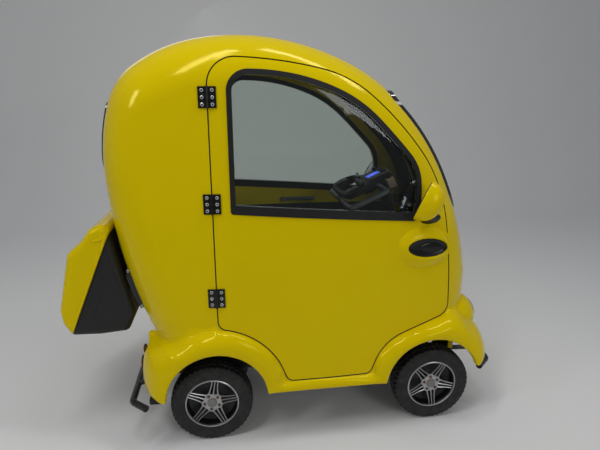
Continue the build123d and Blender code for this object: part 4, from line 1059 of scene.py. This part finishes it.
def card_rows(side):
    """Points on a door's inside between its lower edge and a level line."""
    rows = []
    for k in range(TRIM_ROWS + 1):
        row = []
        for i in range(TRIM_COLUMNS + 1):
            x = TRIM_REAR + (TRIM_FRONT - TRIM_REAR) * i / TRIM_COLUMNS
            low = max(door_foot_height(x + dx) for dx in (-TRIM_MARGIN, 0, TRIM_MARGIN)) + TRIM_MARGIN
            edge = min(1, k, TRIM_ROWS - k, i, TRIM_COLUMNS - i)
            row.append(inner_skin(x, low + (TRIM_TOP - low) * k / TRIM_ROWS, side, TRIM_THICK * edge))
        rows.append(row)
    return rows


for side_name, side in SIDES.items():
    body = f"door_{side_name}"
    loft_piece(f"door_card_{side_name}", card_rows(side), black_plastic, body, 40, around=False)
    card = place(inner_skin(-20.0, 560.0, side, 3.0), (0, -side, 0.03), (1, 0, 0))
    slab_piece(f"door_pocket_{side_name}", [((330, 150), -4, 26, 26, 10, (0, 0))], card, black_plastic, body)
    slab_piece(f"door_pocket_slot_{side_name}", [((296, 22), 20, 27.5, 10, 1, (0, 58 * -side))], card,
               black_rubber, body)
    for x in (-180.0, 0.0, 180.0):
        fixing = place(inner_skin(x, TRIM_TOP - 14.0, side, 4.0), (0, -side, 0), (1, 0, 0))
        slab_piece(f"card_button_{side_name}_{int(x) + 180}", [((9, 9), -1, 2.2, 4.4, 1.6, (0, 0))], fixing,
                   black_rubber, body)
    bar = place(inner_skin(-30.0, 896.0, side, 2.0), (0, -side, 0), (1, 0, 0))
    slab_piece(f"latch_bar_{side_name}", LATCH_BAR, bar, grey_plastic, body)

# Cowl shelf below the windscreen, and a ribbed mat in the footwell
shell_inside = hull_of("cab_shell")


def cowl_point(y, z, back):
    """A point behind the inner face of the cab's nose, in millimetres."""
    hit = shell_inside.ray_cast(view_point(150.0, z, y), Vector((1, 0, 0)))
    return Vector((hit[0].x - back / 1000, y / 1000, z / 1000))


COWL = [(2, 918), (20, 921), (60, 920), (96, 914), (108, 905), (110, 892), (100, 884), (60, 878), (2, 860)]
bm = bmesh.new()
grid = loft(bm, [[cowl_point(y, z, back) for y in range(-216, 217, 12)] for back, z in COWL])
for end in (0, -1):
    bm.faces.new([row[end] for row in grid])
mesh_piece("cowl_shelf", bm, black_plastic, "chassis", 45)

bm = bmesh.new()
mat_high = 240.0
for x in range(-170, 190, 20):
    box_at(bm, (0.008, 0.44, 0.003), Matrix.Translation(view_point(x + 5.0, mat_high + 4.2, 0.0)))
slab(bm, (400, 470), 0.3, 3.5, Matrix.Translation(view_point(5.0, mat_high, 0.0)), 20, 1.5)
mesh_piece("footwell_mat", bm, black_rubber, "chassis", 40)

# Rear box: a rim on each side of its seam, a grip and a lock on the lid, folds and plates on the base
SEAM_FOOT = view_point(-1036.0, 453.0, 0.0)
SEAM_HEAD = view_point(-852.0, 880.0, 0.0)
seam_up = (SEAM_HEAD - SEAM_FOOT).normalized()
seam_back = Vector((-seam_up.z, 0.0, seam_up.x))
box_hull = hull_of("box_lid", "box_base")
cab_hull = hull_of("cab_shell")
HINGE_CLEAR = 0.008
CAB_CLEAR = 0.008
# Profiles of the rim and the gasket: distance from the seam and height over the wall
RIM = [(0.8, -1), (0.8, 4.6), (2, 6), (9, 6), (11.5, 4.6), (13, 1), (13, -1)]
GASKET = [(-0.6, -1), (-0.6, 1.6), (-1.4, 2.2), (-6, 2.2), (-7, 1.4), (-7, -1)]


def seam_ring(lift, proud):
    """Points round the box in a plane beside its seam, standing out of its walls, in millimetres.

    The ring stays off the hinge barrels, gets thin beside them and stays clear of the cab.
    """
    ring = []
    for turn in turns(160):
        out = Vector((0, 1, 0)) * cos(turn) + seam_up * sin(turn)
        middle = SEAM_FOOT.lerp(SEAM_HEAD, 0.5) + seam_back * lift / 1000
        hit = box_hull.ray_cast(middle + out * 0.6, -out)[0]
        hit += seam_up * max(0.0, HINGE_CLEAR - (hit - SEAM_FOOT).dot(seam_up))
        room = cab_hull.find_nearest(hit)[3] - CAB_CLEAR
        above_hinge = max(0.06, min(1.0, 1.0 + 5.0 * (out.dot(seam_up) + 0.55)))
        ring.append(hit + out * min(proud * (above_hinge if proud > 0 else 1.0) / 1000, max(room, 0.0004)))
    return ring


for name, material, body, profile in (("box_rim", body_paint, "box_lid", RIM),
                                      ("box_gasket", black_rubber, "chassis", GASKET)):
    rings = [seam_ring(lift, proud) for lift, proud in profile]
    loft_piece(name, rings, material, body, 45, closed=True)


def box_side(x, z, side, lift=0.0):
    """A point on the side wall of the rear box, lifted outward by a distance in millimetres."""
    hit = box_hull.ray_cast(view_point(x, z, side * 400.0), Vector((0, -side, 0)))
    return hit[0] + Vector((0, side * lift / 1000, 0)), hit[1]


GRIP = [(27, 12, -1), (27, 12, 0.6), (25.5, 11, 2.0), (23, 9.6, 2.2), (20, 8, 0.8), (12, 4, 0.3),
        (0.5, 0.2, 0.2)]
FOLDS = [[(-872, 830), (-850, 740), (-828, 640)], [(-908, 622), (-945, 527)], [(-835, 520), (-930, 516)]]
PLATE = [(-792, 745), (-772, 690), (-730, 574), (-752, 562), (-782, 640), (-798, 700)]
for side_name, side in SIDES.items():
    spot, out = box_side(-893.0, 868.0, side)
    loft_piece(f"box_grip_{side_name}", oval_rings(GRIP, 40), body_paint, "box_lid",
               matrix=place(spot, (0, side, 0.2), (0.9, 0, 0.3)))
    for k, fold in enumerate(FOLDS):
        line = [box_side(x, z, side, -0.3)[0] for x, z in catmull(fold, 8)]
        tube_piece(f"box_fold_{side_name}_{k}", line, 0.0016, black_plastic, "chassis")
    bm = bmesh.new()
    grid = loft(bm, [[view_point(x, z, side * y) for x, z in PLATE] for y in (200.6, 204.2)], around=True)
    bm.faces.new(grid[0])
    bm.faces.new(grid[1])
    modify(mesh_piece(f"box_plate_{side_name}", bm, black_steel, "chassis", 30), "BEVEL", width=0.0008,
           segments=2, limit_method="ANGLE")
    bm = bmesh.new()
    for x, z in ((-789, 727), (-748, 574)):
        screw_head(bm, place(view_point(x, z, side * 204.6), (0, side, 0)), 0.8)
    mesh_piece(f"box_screws_{side_name}", bm, bright_steel, "chassis", 40)

lid_back = box_hull.ray_cast(view_point(-1300.0, 690.0, 0.0), Vector((1, 0, 0)))
lock = place(lid_back[0], (-1, 0, 0.1), (0, 1, 0))
slab_piece("box_latch", [((44, 70), -3, 7, 12, 4, (0, 0))], lock, gloss_black, "box_lid")
bm = bmesh.new()
cylinder_at(bm, 0.011, 0.006, lock @ Matrix.Translation((0.0, 0.012, 0.008)), 36)
box_at(bm, (0.0022, 0.011, 0.0006), lock @ Matrix.Translation((0.0, 0.012, 0.0112)))
mesh_piece("box_lock", bm, bright_steel, "box_lid", 35)

# Lamps: domed lenses in black rims on the fenders
LAMPS = [
    ("tail_lamp", "tail_lamps", red_lens, (-621.0, 336.0, 234.0), 28.0, 8.0, -1),
    ("rear_indicator", "indicators", amber_lens, (-609.0, 396.0, 234.0), 18.0, 8.0, -1),
    ("front_indicator", "indicators", amber_lens, (862.0, 330.0, 226.0), 20.0, 13.0, 1),
]
for side_name, side in SIDES.items():
    for name, node, material, (x, z, y), radius, proud, ahead in LAMPS:
        seat = place((x / 1000, side * y / 1000, z / 1000), (ahead, 0, 0), (0, 1, 0))
        dome = [(radius - 1.5, -3), (radius - 1.5, proud * 0.5), (radius - 3, proud * 0.72),
                (radius * 0.75, proud * 0.9), (radius * 0.4, proud), (0.3, proud)]
        lens_piece = loft_piece(f"{name}_{side_name}", round_rings(dome, 48), material, "chassis",
                                matrix=seat)
        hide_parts(node)
        rim = [(radius - 1.5, -3), (radius + 1.5, -3), (radius + 1.5, proud * 0.35), (radius, proud * 0.5),
               (radius - 1.5, proud * 0.45)]
        loft_piece(f"{name}_rim_{side_name}", round_rings(rim, 48), black_plastic, "chassis", matrix=seat)

# Rubber flaps under the tips of the rear fenders
for side_name, side in SIDES.items():
    flap = Matrix.Translation(view_point(-690.0, 222.0, side * 338.0))
    slab_piece(f"mud_flap_{side_name}", [((62, 72), 0, 18, 12, 4, (0, 0))], flap, black_rubber, "chassis")

# Windscreen wiper
nose_hull = hull_of("cab_shell", "fixed_glass", "fixed_seals")


def on_nose(y, z, lift):
    """A point on the cab's nose or its windscreen, lifted off it by a distance in millimetres."""
    hit = nose_hull.ray_cast(view_point(1200.0, z, y), Vector((-1, 0, 0)))
    return hit[0] + hit[1] * lift / 1000 * (1 if hit[1].x > 0 else -1)


pivot = on_nose(20.0, 890.0, 6.0)
# Name, material, radius and route as distance to the left, height and lift off the nose
WIPER = [
    ("wiper_arm", black_plastic, 0.0042, ((20, 890, 10), (12, 925, 17), (-6, 955, 18), (-40, 984, 16))),
    ("wiper_blade", black_rubber, 0.0038, ((-170, 966, 9), (-120, 974, 9), (-70, 981, 9), (-20, 986, 9),
                                           (30, 989, 9), (90, 990, 9))),
    ("wiper_yoke", black_plastic, 0.0034, ((-110, 976, 12), (-40, 984, 16), (30, 989, 12))),
]
for name, material, radius, route in WIPER:
    tube_piece(name, [on_nose(*spot) for spot in route], radius, material, "chassis")
bm = bmesh.new()
out = (on_nose(20.0, 890.0, 30.0) - pivot).normalized()
cylinder_at(bm, 0.017, 0.016, place(pivot, out), 40, 0.012)
ball_at(bm, 0.0075, place(pivot + out * 0.0085, out), 24)
mesh_piece("wiper_pivot", bm, black_plastic, "chassis", 40)

# Headlamps: fluted lenses and bright rims that follow the pods
LAMP_Z = 462.0
BEZEL = [(46.5, -2), (46.5, 1.5), (45.4, 2.8), (43.6, 3.2), (42, 2.4), (41.2, 0.4)]
LAMP_GLASS = [(41.6, 0.0), (40.4, 2.2), (36, 4.0), (29, 5.6), (20, 6.8), (10, 7.6), (0.4, 7.9)]


def on_pod(radius, lift, side):
    """A ring round a headlamp's middle on its pod, lifted forward by a distance in millimetres."""
    ring = []
    for turn in turns(64):
        dy, z = radius * cos(turn), LAMP_Z + radius * sin(turn)
        reach = (POD_R ** 2 - dy ** 2 - (z - POD.y) ** 2) ** 0.5
        ring.append(view_point(POD.x + reach + lift, z, side * (POD_Y + dy)))
    return ring


for side_name, side in SIDES.items():
    for name, profile, material in (("headlamp_rim", BEZEL, bright_steel),
                                    ("headlamp_glass", LAMP_GLASS, lamp_glass)):
        rings = [on_pod(radius, lift, side) for radius, lift in profile]
        made = loft_piece(f"{name}_{side_name}", rings, material, "chassis")
    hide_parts("headlamp_lenses")

# Seat pads: leather blown up inside its seams, with sewn channels and a piped edge
# Sizes in metres, apart from the pads' corners and soft edges in millimetres
VOXEL = 0.006
PRESSURE = 4.0
CLOTH_FRAMES = 20
SWELL_CAP = 0.008
SEW_DEPTH = 0.006
SEW_HALF = 0.007
PAD_CORNER = 52.0
PAD_SOFT = 24.0
PIPING_R = 0.003
ARM_TOP = 0.812


def evaluated_mesh(piece):
    """A new mesh of a piece with its modifiers applied."""
    graph = bpy.context.evaluated_depsgraph_get()
    return bpy.data.meshes.new_from_object(piece.evaluated_get(graph))


def inflate(piece):
    """Remeshes a piece, blows it up as cloth and keeps each point near its start."""
    modify(piece, "REMESH", mode="VOXEL", voxel_size=VOXEL)
    piece.data = evaluated_mesh(piece)
    piece.modifiers.clear()
    start = [vertex.co.copy() for vertex in piece.data.vertices]
    modify(piece, "CLOTH")
    cloth = piece.modifiers["cloth"]
    cloth.settings.use_pressure = True
    cloth.settings.uniform_pressure_force = PRESSURE
    cloth.settings.effector_weights.gravity = 0.0
    cloth.point_cache.frame_start, cloth.point_cache.frame_end = 1, CLOTH_FRAMES
    for frame_number in range(1, CLOTH_FRAMES + 1):
        bpy.context.scene.frame_set(frame_number)
    blown = evaluated_mesh(piece)
    piece.modifiers.clear()
    for vertex, before, after in zip(piece.data.vertices, start, blown.vertices):
        move = after.co - before
        vertex.co = before + move * min(1.0, SWELL_CAP / max(move.length, 1e-9))
    bpy.context.scene.frame_set(1)


def sew(piece, frame, lines):
    """Presses grooves into a pad's upper side along lines of its frame, given as metre points."""
    inside = frame.inverted()
    for vertex in piece.data.vertices:
        spot = inside @ vertex.co
        if spot.z < -0.018:
            continue
        gap = min((nearest(line, spot.xy) - spot.xy).length for line in lines)
        vertex.co -= frame.to_3x3() @ Vector((0.0, 0.0, SEW_DEPTH * bell(gap / SEW_HALF)))


def bell(share):
    """A smooth bump of height 1 at 0 that ends at 1."""
    return 0.0 if share >= 1.0 else (1 - share * share) ** 2


def soft_pad(name, size, thick, frame, body, lines):
    """A stuffed pad whose upper side reaches the frame's plane."""
    bm = bmesh.new()
    slab(bm, size, 4.0 - thick, -10.0, frame, PAD_CORNER, PAD_SOFT)
    pad = mesh_piece(name, bm, seat_leather, body)
    inflate(pad)
    sew(pad, frame, lines)
    pad.data.shade_smooth()
    subdivide(pad, 1)
    return pad


def piping(name, pad, ring, frame, body):
    """A cord sewn round a pad along a ring of its frame."""
    mesh = pad.data
    surface = BVHTree.FromPolygons([v.co for v in mesh.vertices], [p.vertices for p in mesh.polygons])
    down = frame.to_3x3() @ Vector((0.0, 0.0, -1.0))
    points = []
    for spot in ring:
        hit = surface.ray_cast(frame @ Vector((spot.x, spot.y, 0.2)), down)
        if hit[0] is not None:
            points.append(hit[0] - down * 0.0005)
    tube_piece(name, points, PIPING_R, seat_leather, body, closed=True)


def sewn_lines(across, along, half):
    """Lines across and along a pad, in metres of its frame, ending at half its size."""
    lines = [[Vector((-half, y)), Vector((half, y))] for y in across]
    return lines + [[Vector((x, -half)), Vector((x, half))] for x in along]


SEAT_MIDDLE = (-175.0, 598.0)
BACK_FOOT = (-392.0, 604.0)
BACK_RISE = 0.235
cushion_frame = place(view_point(*SEAT_MIDDLE, 0.0), (0, 0, 1), (1, 0, 0))
cushion = soft_pad("seat_cushion_pad", (414, 414), 88, cushion_frame, "chassis",
                   sewn_lines((-0.118, 0.118), (0.135,), 0.17))
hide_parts("seat_cushion")
piping("seat_cushion_piping", cushion, plate_ring(384, 384, 44, 0.0), cushion_frame, "chassis")

BACK_TILT = radians(11.0)
back_up = Vector((-sin(BACK_TILT), 0.0, cos(BACK_TILT)))
back_front = Vector((cos(BACK_TILT), 0.0, sin(BACK_TILT)))
back_frame = place(view_point(*BACK_FOOT, 0.0) + back_up * BACK_RISE, back_front, back_up)
backrest = soft_pad("seat_backrest_pad", (452, 412), 80, back_frame, "chassis",
                    sewn_lines((-0.118, 0.118), (0.1, -0.06), 0.18))
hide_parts("seat_backrest")
piping("seat_backrest_piping", backrest, plate_ring(424, 384, 44, 0.0), back_frame, "chassis")

arm_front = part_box("seat_frame")[1].x
for side_name, side in SIDES.items():
    pad_frame = Matrix.Translation(Vector((arm_front - 0.135, side * 0.25, ARM_TOP)))
    bm = bmesh.new()
    slab(bm, (278, 60), -36.0, 0.0, pad_frame, 26, 12)
    arm = mesh_piece(f"armrest_pad_{side_name}", bm, seat_leather, "chassis", 60)

# Floor, backdrop, light and camera
def stage_material(name, tone):
    made = Shader(name)
    made.set(Base_Color=tone, Roughness=0.85)
    return made.material


def sweep_floor():
    """Pale floor that curves up into a backdrop behind the object."""
    made = bmesh.new()
    rows = []
    for y, z in [(-7.0, 0.0), (3.0, 0.0)] + [(3.0 + 1.5 * sin(a * pi / 16), 1.5 - 1.5 * cos(a * pi / 16))
                                            for a in range(1, 9)] + [(4.5, 7.0)]:
        rows.append([made.verts.new((x, y, z)) for x in (-12.0, 12.0)])
    for low, high in zip(rows, rows[1:]):
        made.faces.new((low[0], low[1], high[1], high[0]))
    mesh = bpy.data.meshes.new("floor")
    made.to_mesh(mesh)
    mesh.shade_smooth()
    mesh.materials.append(stage_material("floor_pale", color(0.8, 0.8, 0.8)))
    floor = bpy.data.objects.new("floor", mesh)
    bpy.context.collection.objects.link(floor)


def area_light(name, place, target, size, energy):
    data = bpy.data.lights.new(name, "AREA")
    data.shape = "RECTANGLE"
    data.size, data.size_y = size
    data.energy = energy
    light = bpy.data.objects.new(name, data)
    light.location = place
    light.rotation_euler = (Vector(target) - Vector(place)).to_track_quat("-Z", "Y").to_euler()
    bpy.context.collection.objects.link(light)


sweep_floor()
# Name, place, target, size and power in watts
LIGHTS = [
    ("ceiling_left", (-1.0, -1.3, 3.9), (0.0, 0.0, 0.9), (0.3, 2.4), 31.0),
    ("ceiling_right", (1.2, -0.6, 3.9), (0.0, 0.0, 0.9), (0.3, 2.4), 28.0),
    ("front_fill", (2.2, -4.4, 2.4), (0.0, 0.0, 0.7), (1.6, 1.6), 29.0),
    ("rear_glint", (-2.7, -1.5, 2.5), (-0.7, -0.1, 0.7), (0.35, 0.8), 12.0),
    ("back_fill", (-1.5, 3.8, 3.0), (0.0, 0.0, 0.8), (2.4, 1.2), 6.0),
]
for light in LIGHTS:
    area_light(*light)

world = bpy.data.worlds.new("studio")
bpy.context.scene.world = world
world.use_nodes = True
background = world.node_tree.nodes["Background"]
background.inputs["Color"].default_value = color(0.8, 0.82, 0.85)
background.inputs["Strength"].default_value = 0.27

# The photograph's view: place from the middle of the wheelbase, then pitch, yaw and roll
CAMERA_PLACE = (-0.3628, -2.101, 1.3969)
CAMERA_PITCH = radians(-14.81)
CAMERA_YAW = radians(8.19)
CAMERA_ROLL = radians(-0.22)
FOCAL_SHARE = 480 / 600
camera_data = bpy.data.cameras.new("camera")
camera_data.sensor_width = 36.0
camera_data.lens = FOCAL_SHARE * camera_data.sensor_width
camera = bpy.data.objects.new("camera", camera_data)
camera.location = (CAMERA_PLACE[0] + MID_X, CAMERA_PLACE[1], CAMERA_PLACE[2])
camera.matrix_world = (Matrix.Translation(camera.location) @ Matrix.Rotation(-CAMERA_YAW, 4, "Z")
                       @ Matrix.Rotation(pi / 2 + CAMERA_PITCH, 4, "X")
                       @ Matrix.Rotation(CAMERA_ROLL, 4, "Z"))
bpy.context.collection.objects.link(camera)
bpy.context.scene.camera = camera
bpy.context.scene.view_settings.view_transform = "Standard"
